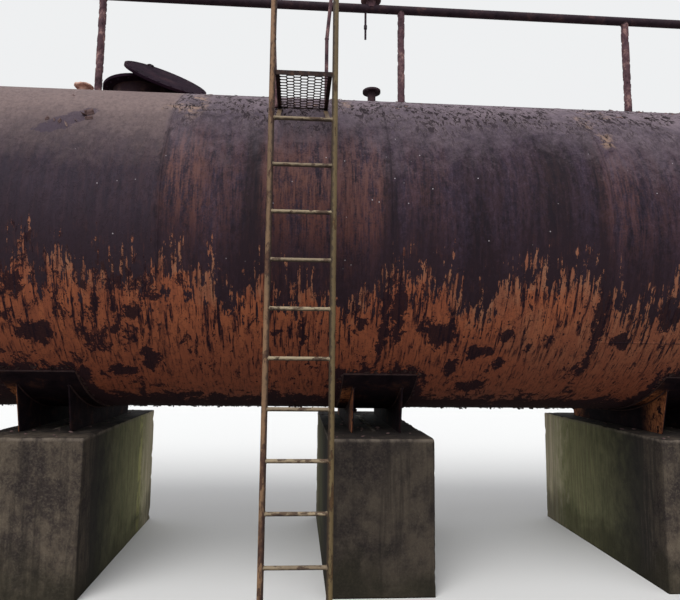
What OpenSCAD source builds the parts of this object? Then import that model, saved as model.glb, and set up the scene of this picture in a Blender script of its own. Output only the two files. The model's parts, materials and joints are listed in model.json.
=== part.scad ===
// Horizontal pressure tank on five concrete piers, with its access ladder and overhead pipe.
// Millimetres. The tank lies along X, the ladder stands on the -Y side, and z = 0 is the ground.
// The origin is the middle of the middle pier's foot.

/* [Vessel] */
// Outside diameter of the shell
shell_od = 2620; // [2450:10:2700]
// Thickness of the shell and head plates
plate_t = 10; // [8:1:16]
// Length of one rolled course of plate
course_len = 1500; // [1400:10:1600]
// Outside radius of each head's crown
dish_r = 2100; // [1900:10:2400]
// Outside radius of each head's knuckle
knuckle_r = 400; // [300:10:450]
// Straight skirt on each head
head_skirt = 40; // [20:5:80]

/* [Saddles and piers] */
// Distance from one saddle to the next
saddle_pitch = 2400; // [2200:10:2500]
// From the pier's top to the shell's lowest line
saddle_gap = 135; // [125:5:210]
// Length of the saddle's webs across the tank, at the wear plate
saddle_w = 1460; // [1300:10:1500]
// Length of the webs at their foot
saddle_foot = 1290; // [1150:10:1450]
// Distance between the middles of the two webs
web_gap = 360; // [300:10:420]
// Thickness of a web
web_t = 12; // [8:1:20]
// Width of the wear plate along the tank
wear_w = 530; // [500:10:600]
// Thickness of the wear plate
wear_t = 12; // [8:1:16]
// Half the angle that the wear plate wraps
wear_angle = 40; // [38:1:50]
// Width of a pier along the tank
pier_w = 750; // [650:10:900]
// Depth of a pier across the tank
pier_d = 1820; // [1700:10:2000]
// Height of a pier above the ground
pier_h = 1060; // [800:10:1200]

/* [Manway] */
// Middle of the manway, from the middle saddle
manway_x = -2013; // [-2200:1:-1900]
// Outside diameter of the manway's neck
neck_od = 508; // [450:1:520]
// Thickness of the neck
neck_t = 10; // [8:1:16]
// Height of the flange's underside above the crown
neck_h = 118; // [110:1:180]
// Diameter of the flange and of its lid
flange_od = 690; // [680:1:720]
// Thickness of the flange
flange_t = 25; // [18:1:35]
// Bolt circle of the flange and the lid
bolt_circle = 635; // [615:1:640]
// Number of bolt holes
bolt_count = 20; // [12:4:24]
// Diameter of a bolt hole
bolt_hole = 27; // [20:1:30]
// Thickness of the lid
lid_t = 22; // [16:1:30]
// Plan distance from the manway's middle to the lid's middle
lid_slide = 357; // [350:1:380]
// Plan direction in which the lid has slid
lid_bearing = -45; // [-50:1:-42]
// Plan direction in which the lid slopes down
lid_downhill = -56; // [-60:1:-52]

/* [Nozzles] */
// Middle of the right-hand nozzle, from the middle saddle
nozzle_x = 46; // [40:1:400]
// Middle of the left-hand nozzle, from the middle saddle
old_nozzle_x = -2545; // [-2600:1:-2520]
// Outside diameter of a nozzle's neck
nozzle_od = 73; // [60:1:76]
// Thickness of a nozzle's neck
nozzle_t = 6; // [4:1:8]
// Diameter of a nozzle's flange
nozzle_flange_od = 165; // [160:1:180]
// Thickness of a nozzle's flange
nozzle_flange_t = 18; // [14:1:22]
// Height of the right-hand nozzle's top above the crown
nozzle_h = 250; // [200:5:300]
// Height of the left-hand nozzle's top above the crown
old_nozzle_h = 190; // [160:5:260]
// Bolt circle of a nozzle's flange
nozzle_bolt_circle = 125; // [120:1:130]
// Diameter of a nozzle's bolt hole
nozzle_bolt_hole = 18; // [14:1:20]

/* [Overhead pipe] */
// Outside diameter of the overhead pipe
pipe_od = 76; // [70:1:90]
// Thickness of the overhead pipe
pipe_t = 5; // [4:1:8]
// Height of the pipe's middle above the crown
pipe_rise = 1060; // [900:10:1200]
// From the end seam of the courses to the pipe's end
pipe_inset = 600; // [300:50:900]
// Outside diameter of a pipe post
post_od = 60; // [50:1:70]
// Thickness of a pipe post
post_t = 4; // [3:1:6]
// From the pipe's end to the post beside it
post_inset = 500; // [300:50:700]
// Place of the post beside the manway
left_post_x = -2420; // [-2440:1:-2400]
// Place of the post beside the right-hand nozzle
middle_post_x = 322; // [250:1:700]
// Place of the post to the right of it
right_post_x = 2503; // [2200:1:2800]
// Middle of the flanged branch on the pipe
branch_x = 37; // [30:1:100]
// Diameter of the branch's flange
branch_flange_od = 190; // [180:1:200]
// Thickness of the branch's flange
branch_flange_t = 18; // [14:1:22]
// Thickness of the sleeve that carries the flange
branch_sleeve_t = 6.5; // [4:0.5:8]
// Height of the flange's underside above the pipe
branch_rise = 40; // [30:1:60]
// Middle of the small drain under the pipe
drain_x = -14; // [-40:1:0]
// Length of the drain below the pipe
drain_len = 268; // [200:1:320]
// Outside diameter of the drain
drain_od = 20; // [14:1:22]
// Outside diameter of the drain's coupling
coupling_od = 30; // [24:1:34]
// Length of the coupling
coupling_len = 34; // [25:1:45]
// From the pipe's underside to the coupling's foot
coupling_drop = 166; // [120:1:190]

/* [Ladder] */
// Middle of the ladder, from the middle saddle
ladder_x = -591; // [-700:1:-500]
// From the shell's widest line to the middle of the ladder's rails
ladder_gap = 138; // [120:1:200]
// Distance between the middles of the rails
ladder_w = 398; // [360:1:440]
// Outside diameter of a rail
rail_od = 38; // [34:1:44]
// Thickness of a rail's tube
rail_t = 3; // [2:0.5:5]
// Outside diameter of a rung
rung_od = 25; // [20:1:28]
// Distance from one rung to the next
rung_pitch = 300; // [280:5:320]
// Height of the lowest rung's middle
rung_first = 410; // [300:5:450]
// Height of the rails above the platform
rail_rise = 1050; // [900:10:1100]

/* [Platform] */
// Height of the platform above the tank's axis
platform_rise = 917; // [880:1:950]
// Leg of the platform's side angles
angle_leg = 25; // [22:1:50]
// Thickness of the platform's angles and bars
angle_t = 5; // [4:1:8]
// Thickness of the platform's mesh
mesh_t = 5; // [4:1:6]
// Width of the mesh's strands
strand_w = 6; // [4:0.5:8]
// Distance from one column of mesh cells to the next
mesh_pitch_x = 46; // [40:1:60]
// Distance from one mesh cell to the next in a column
mesh_pitch_y = 38.5; // [34:0.5:50]
// Outside diameter of a hand post
hand_od = 27; // [22:1:34]
// How far the left hand post leans out below its bend
hand_lean = 25; // [0:1:40]
// Width of the flat braces under the platform
brace_w = 30; // [25:1:40]

/* [Hidden] */
$fn = 96;
// Sides of the large round shapes
large_fn = 240;

course_count = 8;
saddle_count = 5;
// Clearance where a piece rests on another
seat = 0.3;
// How far a cutting shape runs past what it cuts
cut = 5;
// Size of a hand post's welded bends against its bar
knot = 1.2;
// Height of the hand posts' bend, as a share of the rails above the platform
bend_share = 0.5;
shell_r = shell_od / 2;
shell_ri = shell_r - plate_t;
saddle_h = shell_r + saddle_gap;
axis_z = pier_h + saddle_h;
crown_z = axis_z + shell_r;
tank_half = course_count * course_len / 2;
dish_drop = sqrt(pow(dish_r - knuckle_r, 2) - pow(shell_r - knuckle_r, 2));
wear_r = shell_r + wear_t;
// How far below the axis the webs' corners meet the wear plate.
wear_foot = sqrt(pow(wear_r, 2) - pow(saddle_w / 2, 2));

flange_z = crown_z + neck_h;
flange_top = flange_z + flange_t;
neck_ri = neck_od / 2 - neck_t;
lid_r = flange_od / 2;
branch_neck_od = pipe_od + 2 * branch_sleeve_t;
pipe_half = tank_half - pipe_inset;
pipe_z = crown_z + pipe_rise;
post_x = [-pipe_half + post_inset, left_post_x, middle_post_x, right_post_x, pipe_half - post_inset];

ladder_y = -shell_r - ladder_gap;
rail_left_x = ladder_x - ladder_w / 2;
rail_right_x = ladder_x + ladder_w / 2;
platform_z = axis_z + platform_rise;
rung_count = floor((platform_z - rung_first - rung_pitch / 2) / rung_pitch) + 1;
rail_top = platform_z + rail_rise;
// Where the shell stands at the platform's level, and the platform's inner width.
platform_back = -sqrt(pow(shell_r, 2) - pow(platform_rise, 2));
hand_y = platform_back - hand_od;
mesh_left = rail_left_x + rail_od / 2;
mesh_right = rail_right_x - rail_od / 2;
mesh_front = ladder_y + rail_od / 2;

// Places its children with their Z axis along the tank's axis, starting at x, with their X axis down.
module along_tank(x) {
    translate([x, 0, axis_z]) rotate([0, 90, 0]) children();
}

// A round bar of radius r from point a to point b.
module bar(a, b, r) {
    d = b - a;
    translate(a) rotate([0, acos(d[2] / norm(d)), atan2(d[1], d[0])]) cylinder(r = r, h = norm(d));
}

// The shell's round outside for a stretch each side of x, to cut what stands on it to its curve.
module shell_body(x, reach) {
    along_tank(x - reach) cylinder(r = shell_r, h = 2 * reach, $fn = large_fn);
}

// Holes that the manway and the nozzles need in the shell.
module crown_holes() {
    translate([manway_x, 0, axis_z]) cylinder(r = neck_ri, h = shell_od);
    for (x = [nozzle_x, old_nozzle_x])
        translate([x, 0, axis_z]) cylinder(r = nozzle_od / 2 - nozzle_t, h = shell_od);
}

// One rolled course of the shell, counted from the left.
module shell_course(i) {
    color([0.36, 0.20, 0.15])
    difference() {
        along_tank(-tank_half + (i - 1) * course_len) difference() {
            cylinder(r = shell_r, h = course_len, $fn = large_fn);
            translate([0, 0, -cut]) cylinder(r = shell_ri, h = course_len + 2 * cut, $fn = large_fn);
        }
        crown_holes();
    }
}

// Half the outline of a dished head, inset by a plate's thickness or by nothing.
// The crown arc and the knuckle arc meet on the line through both their centres.
module head_outline(inset, skirt) {
    intersection() {
        translate([0, -skirt]) square([shell_r - inset, skirt + dish_r]);
        union() {
            translate([0, -skirt]) square([shell_r - inset, skirt]);
            translate([shell_r - knuckle_r, 0]) circle(r = knuckle_r - inset, $fn = large_fn);
            intersection() {
                translate([0, -dish_drop]) circle(r = dish_r - inset, $fn = large_fn);
                polygon([
                    [0, -dish_drop],
                    [2 * (shell_r - knuckle_r), dish_drop],
                    [2 * (shell_r - knuckle_r), 2 * dish_r],
                    [0, 2 * dish_r]
                ]);
            }
        }
    }
}

module head_right() {
    color([0.36, 0.20, 0.15])
    along_tank(tank_half + head_skirt) rotate_extrude($fn = large_fn) difference() {
        head_outline(0, head_skirt);
        head_outline(plate_t, head_skirt + cut);
    }
}

module head_left() {
    mirror([1, 0, 0]) head_right();
}

function saddle_x(i) = (i - (saddle_count + 1) / 2) * saddle_pitch;

// The rolled wear plate between the shell and the webs.
module wear_plate(i) {
    reach = 2 * wear_r;
    color([0.16, 0.12, 0.11])
    along_tank(saddle_x(i) - wear_w / 2) linear_extrude(height = wear_w) intersection() {
        difference() {
            circle(r = wear_r, $fn = large_fn);
            circle(r = shell_r, $fn = large_fn);
        }
        polygon([
            [0, 0],
            [reach * cos(wear_angle), -reach * sin(wear_angle)],
            [reach * cos(wear_angle), reach * sin(wear_angle)]
        ]);
    }
}

// Two plates across the tank, cut to the wear plate's curve, standing on the pier.
module saddle_webs(i) {
    color([0.18, 0.13, 0.12])
    for (side = [-1, 1])
        along_tank(saddle_x(i) + side * web_gap / 2 - web_t / 2) linear_extrude(height = web_t)
        difference() {
            polygon([
                [0, -saddle_w / 2],
                [wear_foot, -saddle_w / 2],
                [saddle_h, -saddle_foot / 2],
                [saddle_h, saddle_foot / 2],
                [wear_foot, saddle_w / 2],
                [0, saddle_w / 2]
            ]);
            circle(r = wear_r, $fn = large_fn);
        }
}

module pier(i) {
    color([0.36, 0.33, 0.29])
    translate([saddle_x(i) - pier_w / 2, -pier_d / 2, 0]) cube([pier_w, pier_d, pier_h]);
}

// The manway's neck, cut to the shell's curve.
module manway_neck() {
    color([0.30, 0.19, 0.16])
    difference() {
        translate([manway_x, 0, axis_z]) cylinder(r = neck_od / 2, h = flange_z - axis_z);
        translate([manway_x, 0, axis_z - cut]) cylinder(r = neck_ri, h = flange_z);
        shell_body(manway_x, neck_od);
    }
}

// Bolt holes on a circle, through a plate whose underside is at z = 0.
module bolt_holes(circle_d, count, hole_d, depth) {
    for (k = [0 : count - 1])
        rotate((k + 0.5) * 360 / count) translate([circle_d / 2, 0, -cut])
            cylinder(d = hole_d, h = depth + 2 * cut, $fn = 24);
}

module manway_flange() {
    color([0.26, 0.17, 0.15])
    translate([manway_x, 0, flange_z]) difference() {
        cylinder(d = flange_od, h = flange_t);
        translate([0, 0, -cut]) cylinder(r = neck_ri, h = flange_t + 2 * cut);
        bolt_holes(bolt_circle, bolt_count, bolt_hole, flange_t);
    }
}

// The lid has slid off the manway: its underside leans on the flange's rim and its low edge
// rests on the shell. Distances here are from the manway's middle, heights from the tank's axis.

// Height of the middle of the lid's underside, where it touches the rim at a tilt.
function lid_rise(tilt) =
    let (past_rim = lid_slide * cos(lid_bearing - lid_downhill) - lid_r)
    flange_top - axis_z + seat - past_rim * tan(tilt);

// Distance from the shell to the lid's edge, a degrees round from its lowest point.
function edge_gap(tilt, a) =
    let (
        down = lid_r * cos(a) * cos(tilt),
        side = lid_r * sin(a),
        y = lid_slide * sin(lid_bearing) + down * sin(lid_downhill) + side * cos(lid_downhill),
        z = lid_rise(tilt) - lid_r * cos(a) * sin(tilt)
    )
    norm([y, z]) - shell_r;
function lid_gap(tilt) = min([for (a = [-90 : 3 : 90]) edge_gap(tilt, a)]);

// Halves the range of tilts until the low edge just clears the shell.
function lean(low, high, steps) =
    let (mid = (low + high) / 2)
    steps == 0 ? low : lid_gap(mid) > seat ? lean(mid, high, steps - 1) : lean(low, mid, steps - 1);

module manway_lid() {
    tilt = lean(5, 60, 24);
    color([0.17, 0.12, 0.13])
    translate([
        manway_x + lid_slide * cos(lid_bearing),
        lid_slide * sin(lid_bearing),
        axis_z + lid_rise(tilt)
    ])
    rotate([0, 0, lid_downhill]) rotate([0, tilt, 0]) difference() {
        cylinder(d = flange_od, h = lid_t);
        bolt_holes(bolt_circle, bolt_count, bolt_hole, lid_t);
    }
}

// A flanged nozzle of height h on the crown, its neck cut to the shell's curve.
module crown_nozzle(x, h) {
    top = crown_z + h;
    difference() {
        translate([x, 0, axis_z]) {
            cylinder(d = nozzle_od, h = top - axis_z);
            translate([0, 0, top - axis_z - nozzle_flange_t])
                cylinder(d = nozzle_flange_od, h = nozzle_flange_t);
        }
        translate([x, 0, 0]) cylinder(r = nozzle_od / 2 - nozzle_t, h = top + cut);
        translate([x, 0, top - nozzle_flange_t])
            bolt_holes(nozzle_bolt_circle, 4, nozzle_bolt_hole, nozzle_flange_t);
        shell_body(x, nozzle_flange_od);
    }
}

module nozzle() {
    color([0.20, 0.13, 0.14]) crown_nozzle(nozzle_x, nozzle_h);
}

module old_nozzle() {
    color([0.55, 0.38, 0.31]) crown_nozzle(old_nozzle_x, old_nozzle_h);
}

module overhead_pipe() {
    color([0.24, 0.17, 0.17])
    translate([-pipe_half, 0, pipe_z]) rotate([0, 90, 0]) difference() {
        cylinder(d = pipe_od, h = 2 * pipe_half);
        translate([0, 0, -cut]) cylinder(d = pipe_od - 2 * pipe_t, h = 2 * pipe_half + 2 * cut);
    }
}

// A flat closing plate on each end of the pipe.
module pipe_end_caps() {
    color([0.24, 0.17, 0.17])
    for (x = [-pipe_half - pipe_t, pipe_half])
        translate([x, 0, pipe_z]) rotate([0, 90, 0]) cylinder(d = pipe_od, h = pipe_t);
}

// A short flanged branch that stands on the pipe.
module pipe_branch() {
    color([0.24, 0.17, 0.17])
    difference() {
        translate([branch_x, 0, pipe_z]) {
            cylinder(d = branch_neck_od, h = pipe_od / 2 + branch_rise);
            translate([0, 0, pipe_od / 2 + branch_rise]) cylinder(d = branch_flange_od, h = branch_flange_t);
        }
        translate([branch_x - branch_flange_od, 0, pipe_z]) rotate([0, 90, 0])
            cylinder(d = pipe_od, h = 2 * branch_flange_od);
        translate([branch_x - branch_flange_od, -branch_flange_od, pipe_z - branch_flange_od])
            cube([2 * branch_flange_od, 2 * branch_flange_od, branch_flange_od]);
    }
}

// A small drain with a coupling, hanging under the pipe.
module pipe_drain() {
    top = pipe_z - pipe_od / 2;
    color([0.24, 0.17, 0.17])
    difference() {
        translate([drain_x, 0, 0]) union() {
            translate([0, 0, top - drain_len]) cylinder(d = drain_od, h = drain_len + pipe_od / 2);
            translate([0, 0, top - coupling_drop]) cylinder(d = coupling_od, h = coupling_len);
        }
        translate([drain_x - pipe_od, 0, pipe_z]) rotate([0, 90, 0]) cylinder(d = pipe_od, h = 2 * pipe_od);
    }
}

// A tube from the crown to the pipe, cut to both curves.
module pipe_post(i) {
    x = post_x[i - 1];
    color([0.29, 0.19, 0.18])
    difference() {
        translate([x, 0, axis_z]) cylinder(d = post_od, h = pipe_z - axis_z);
        translate([x, 0, axis_z - cut]) cylinder(d = post_od - 2 * post_t, h = pipe_z - axis_z + 2 * cut);
        shell_body(x, post_od);
        translate([x - post_od, 0, pipe_z]) rotate([0, 90, 0]) cylinder(d = pipe_od, h = 2 * post_od);
    }
}

module ladder_rail(x) {
    color([0.47, 0.38, 0.22])
    translate([x, ladder_y, 0]) difference() {
        cylinder(d = rail_od, h = rail_top);
        translate([0, 0, -cut]) cylinder(d = rail_od - 2 * rail_t, h = rail_top + 2 * cut);
    }
}

// Rungs between the rails, each cut to the rails' round sides.
module ladder_rungs() {
    color([0.42, 0.36, 0.27])
    difference() {
        for (k = [0 : rung_count - 1])
            bar([rail_left_x, ladder_y, rung_first + k * rung_pitch],
                [rail_right_x, ladder_y, rung_first + k * rung_pitch], rung_od / 2);
        for (x = [rail_left_x, rail_right_x])
            translate([x, ladder_y, 0]) cylinder(d = rail_od, h = rail_top);
    }
}

// Two side angles and a front bar. The angles end on the shell.
module platform_frame() {
    color([0.20, 0.13, 0.13])
    difference() {
        translate([mesh_left, ladder_y, platform_z - angle_leg]) union() {
            reach = platform_back - ladder_y + cut;
            inner = mesh_right - mesh_left;
            cube([angle_t, reach, angle_leg]);
            translate([inner - angle_t, 0, 0]) cube([angle_t, reach, angle_leg]);
            translate([0, 0, angle_leg - angle_t]) cube([angle_leg, reach, angle_t]);
            translate([inner - angle_leg, 0, angle_leg - angle_t]) cube([angle_leg, reach, angle_t]);
            cube([inner, angle_t, angle_leg]);
        }
        shell_body(ladder_x, ladder_w);
    }
}

// One cell of the mesh: a stretched six-sided hole, less half a strand all round.
module mesh_cell() {
    h = mesh_pitch_y / 2;
    point = mesh_pitch_x / 4;
    half_flat = (mesh_pitch_x - point) / 2;
    half_long = half_flat + point;
    half_strand = strand_w / 2;
    slope = norm([point, h]) / h;
    tip = half_long - half_strand * slope;
    corner = half_flat + half_strand * (point / h - slope);
    top = h - half_strand;
    polygon([[tip, 0], [corner, top], [-corner, top], [-tip, 0], [-corner, -top], [corner, -top]]);
}

// Expanded mesh on the side angles. Every other column of cells is half a cell along.
module platform_mesh() {
    w = mesh_right - mesh_left;
    d = platform_back - ladder_y - seat;
    columns = floor((w - 2 * strand_w) / mesh_pitch_x) + 2;
    rows = floor(d / mesh_pitch_y) + 2;
    color([0.16, 0.13, 0.14])
    translate([mesh_left, ladder_y, platform_z]) linear_extrude(height = mesh_t) difference() {
        square([w, d]);
        intersection() {
            translate([strand_w, strand_w]) square([w - 2 * strand_w, d - 2 * strand_w]);
            for (c = [0 : columns - 1], r = [0 : rows - 1])
                translate([c * mesh_pitch_x, (r + (c % 2) / 2) * mesh_pitch_y]) mesh_cell();
        }
    }
}

// Flat braces from the rails up to the back of the platform's angles.
module platform_braces() {
    low = rung_first + (rung_count - 1) * rung_pitch;
    foot = [ladder_y + rail_od / 2 + seat, low];
    head = [platform_back - brace_w, platform_z - angle_leg - seat];
    d = head - foot;
    color([0.45, 0.36, 0.24])
    difference() {
        for (x = [mesh_left, mesh_right - brace_w])
            translate([x, foot[0], foot[1]]) rotate([atan2(d[1], d[0]), 0, 0])
                translate([0, 0, -angle_t]) cube([brace_w, norm(d), angle_t]);
        shell_body(ladder_x, ladder_w);
    }
}

// A hand post at a back corner of the platform, tied to the top of its rail. It stands on foot
// and leans by lean on its way up to the bend.
module hand_post(x, side, foot, lean) {
    r = hand_od / 2;
    bend = foot + [side * lean, 0, bend_share * rail_rise];
    top = [x + side * r, hand_y, rail_top - r];
    color([0.24, 0.16, 0.16])
    difference() {
        union() {
            bar(foot, bend, r);
            translate(bend) sphere(r = knot * r);
            bar(bend, top, r);
            translate(top) sphere(r = knot * r);
            bar(top, [top[0], ladder_y + rail_od / 2 + seat, top[2]], r);
        }
        shell_body(ladder_x, ladder_w);
    }
}

// The left post is fixed to the outer face of its side angle.
module hand_post_left() {
    hand_post(rail_left_x, -1, [mesh_left - hand_od / 2, hand_y, platform_z - angle_leg / 2], hand_lean);
}

// The right post stands on the mesh over its side angle.
module hand_post_right() {
    hand_post(rail_right_x, 1, [mesh_right - angle_leg / 2, hand_y, platform_z + mesh_t], 0);
}

shell_course(1);  // shell_course_1
shell_course(2);  // shell_course_2
shell_course(3);  // shell_course_3
shell_course(4);  // shell_course_4
shell_course(5);  // shell_course_5
shell_course(6);  // shell_course_6
shell_course(7);  // shell_course_7
shell_course(8);  // shell_course_8
head_left();
head_right();
wear_plate(1);  // wear_plate_1
wear_plate(2);  // wear_plate_2
wear_plate(3);  // wear_plate_3
wear_plate(4);  // wear_plate_4
wear_plate(5);  // wear_plate_5
saddle_webs(1);  // saddle_webs_1
saddle_webs(2);  // saddle_webs_2
saddle_webs(3);  // saddle_webs_3
saddle_webs(4);  // saddle_webs_4
saddle_webs(5);  // saddle_webs_5
pier(1);  // pier_1
pier(2);  // pier_2
pier(3);  // pier_3
pier(4);  // pier_4
pier(5);  // pier_5
manway_neck();
manway_flange();
manway_lid();
nozzle();
old_nozzle();
overhead_pipe();
pipe_end_caps();
pipe_branch();
pipe_drain();
pipe_post(1);  // pipe_post_1
pipe_post(2);  // pipe_post_2
pipe_post(3);  // pipe_post_3
pipe_post(4);  // pipe_post_4
pipe_post(5);  // pipe_post_5
ladder_rail(rail_left_x);  // ladder_rail_left
ladder_rail(rail_right_x);  // ladder_rail_right
ladder_rungs();
platform_frame();
platform_mesh();
platform_braces();
hand_post_left();
hand_post_right();
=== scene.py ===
import itertools
import json
import math
from types import SimpleNamespace

import bpy
import numpy as np
from mathutils import Matrix, Vector


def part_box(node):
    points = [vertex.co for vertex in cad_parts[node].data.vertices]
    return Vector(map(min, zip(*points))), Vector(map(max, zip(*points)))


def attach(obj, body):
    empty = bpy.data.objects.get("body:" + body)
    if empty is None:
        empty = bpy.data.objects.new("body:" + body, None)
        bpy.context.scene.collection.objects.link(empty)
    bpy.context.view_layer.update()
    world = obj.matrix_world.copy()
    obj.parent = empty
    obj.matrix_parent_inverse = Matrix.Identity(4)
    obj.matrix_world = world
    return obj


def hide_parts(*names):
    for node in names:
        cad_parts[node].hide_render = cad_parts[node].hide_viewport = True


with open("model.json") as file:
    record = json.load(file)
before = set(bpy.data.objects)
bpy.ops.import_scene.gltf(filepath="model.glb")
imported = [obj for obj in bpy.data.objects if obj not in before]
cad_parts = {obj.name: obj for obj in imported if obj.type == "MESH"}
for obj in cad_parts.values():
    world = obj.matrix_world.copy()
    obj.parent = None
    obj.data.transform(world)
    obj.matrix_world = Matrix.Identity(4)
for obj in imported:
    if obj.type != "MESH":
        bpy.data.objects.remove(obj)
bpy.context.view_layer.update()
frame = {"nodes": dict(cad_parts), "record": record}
nodes = frame["nodes"]

# Where things are, read from the frame: metres, X along the tank, Z up, the ladder on the -Y side
courseNames = sorted(n for n in nodes if n.startswith("shell_course_"))
courseBoxes = [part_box(n) for n in courseNames]
seams = sorted({round(c, 4) for low, high in courseBoxes for c in (low.x, high.x)})
shellTop, shellBottom = max(high.z for low, high in courseBoxes), min(low.z for low, high in courseBoxes)
shellRadius = (shellTop - shellBottom) / 2
axisZ = shellTop - shellRadius
crownZ = axisZ + shellRadius
postBoxes = [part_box(f"pipe_post_{i}") for i in range(1, 6)]
pierBoxes = [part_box(f"pier_{i}") for i in range(1, 6)]
plateBoxes = [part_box(f"wear_plate_{i}") for i in range(1, 6)]
webBoxes = [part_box(f"saddle_webs_{i}") for i in range(1, 6)]
print("frame loaded:", len(nodes), "nodes, radius", round(shellRadius, 4), "axis at", round(axisZ, 4))


def middleHalf(low, high):
    return (low + high) / 2, (high - low) / 2


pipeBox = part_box("overhead_pipe")
pipeZ, pipeRadius = middleHalf(pipeBox[0].z, pipeBox[1].z)
saddleX = [middleHalf(low.x, high.x)[0] for low, high in pierBoxes]
saddlePitch = saddleX[1] - saddleX[0]


# Shapes: every new piece is one or more grids of points, worked out as whole arrays

cornerPrimes, seedPrime, mixPrime = np.array([73856093, 19349663, 83492791]), 2654435761, 1274126177


def latticeNoise(points, cell, seed):
    # Random numbers on the corners of cubes of that size, blended inside each cube with 3t^2 - 2t^3; from -1 to 1
    places = np.asarray(points, float) / cell + seed * 17.13
    corner = np.floor(places).astype(np.int64)
    inside = places - corner
    inside = inside * inside * (3 - 2 * inside)
    total = np.zeros(places.shape[:-1])
    for step in itertools.product((0, 1), repeat=3):
        mixed = np.bitwise_xor.reduce((corner + step) * cornerPrimes, axis=-1) ^ (seed * seedPrime)
        mixed = (mixed ^ (mixed >> 13)) * mixPrime & 0xFFFFFFFF
        value = ((mixed ^ (mixed >> 16)) & 0xFFFFFF) / 0x7FFFFF - 1
        total += np.where(step, inside, 1 - inside).prod(axis=-1) * value
    return total


def roughness(points, cell, seed, octaves=3):
    # The sum of lattice noises, each with half the cell and half the height of the one before
    total = np.zeros(np.asarray(points).shape[:-1])
    for level in range(octaves):
        total += latticeNoise(points, cell / 2 ** level, seed + level) / 2 ** level
    return total


def stack(*parts):
    # Numbers and arrays that fit each other, side by side along a new last axis
    return np.stack(np.broadcast_arrays(*parts), -1)


def circle(count):
    # Angles that go once round, evenly spaced
    return np.linspace(0, 2 * math.pi, count, endpoint=False)


def surface(points, wrapRows=False, wrapColumns=True, caps=True):
    # A grid of points (copies, rows, columns, 3) becomes corner lists: four neighbours make a face,
    # rows or columns may close on themselves, and the first and last row may be closed by one face each
    points = np.asarray(points, float)
    if points.ndim == 3:
        points = points[None]
    index = np.arange(points[..., 0].size).reshape(points.shape[:-1])
    ends = [index[:, 0, ::-1], index[:, -1, :]] if caps else []
    if wrapRows:
        index = np.concatenate([index, index[:, :1]], axis=1)
    if wrapColumns:
        index = np.concatenate([index, index[:, :, :1]], axis=2)
    quads = np.stack([index[:, :-1, :-1], index[:, 1:, :-1], index[:, 1:, 1:], index[:, :-1, 1:]], axis=-1)
    return points.reshape(-1, 3), [quads.reshape(-1, 4)] + ends


triangleCount = {"added": 0}


def makePiece(name, surfaces, material, smooth=True, replaces=()):
    # Joins the surfaces into one mesh with its place in its points, turned so that its volume is positive
    points, corners, counts, start = [], [], [], 0
    for own, faceLists in surfaces:
        points.append(own)
        for faces in faceLists:
            corners.append((faces + start).ravel())
            counts.append(np.full(len(faces), faces.shape[1]))
        start += len(own)
    points, corners, counts = np.concatenate(points), np.concatenate(corners), np.concatenate(counts)
    mesh = bpy.data.meshes.new(name)
    mesh.vertices.add(len(points))
    mesh.vertices.foreach_set("co", points.astype(np.float32).ravel())
    mesh.loops.add(len(corners))
    mesh.loops.foreach_set("vertex_index", corners.astype(np.int32))
    mesh.polygons.add(len(counts))
    mesh.polygons.foreach_set("loop_start", np.concatenate([[0], np.cumsum(counts)[:-1]]).astype(np.int32))
    mesh.polygons.foreach_set("use_smooth", np.full(len(counts), smooth))
    mesh.update(calc_edges=True)
    mesh.validate()
    mesh.calc_loop_triangles()
    triangles = np.empty(len(mesh.loop_triangles) * 3, np.int32)
    mesh.loop_triangles.foreach_get("vertices", triangles)
    a, b, c = (points[triangles.reshape(-1, 3)[:, k]] - points.mean(0) for k in range(3))
    if (a * np.cross(b, c)).sum() < 0:
        mesh.flip_normals()
    mesh.materials.append(material)
    piece = bpy.data.objects.new(name, mesh)
    bpy.context.scene.collection.objects.link(piece)
    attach(piece, "root")
    if replaces:
        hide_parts(*replaces)
    triangleCount["added"] += len(triangles) // 3
    print("piece", name, len(triangles) // 3, "triangles")
    return piece


# Nodes: short calls that add a node, feed its sockets and give back its output

def linear(red, green, blue):
    # A colour as a picture shows it, 0 to 255, turned into the light that a node takes
    return tuple(((c / 255 + 0.055) / 1.055) ** 2.4 if c > 10 else c / 255 / 12.92 for c in (red, green, blue)) + (1,)


def grey(value):
    return (value, value, value, 1)


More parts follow.
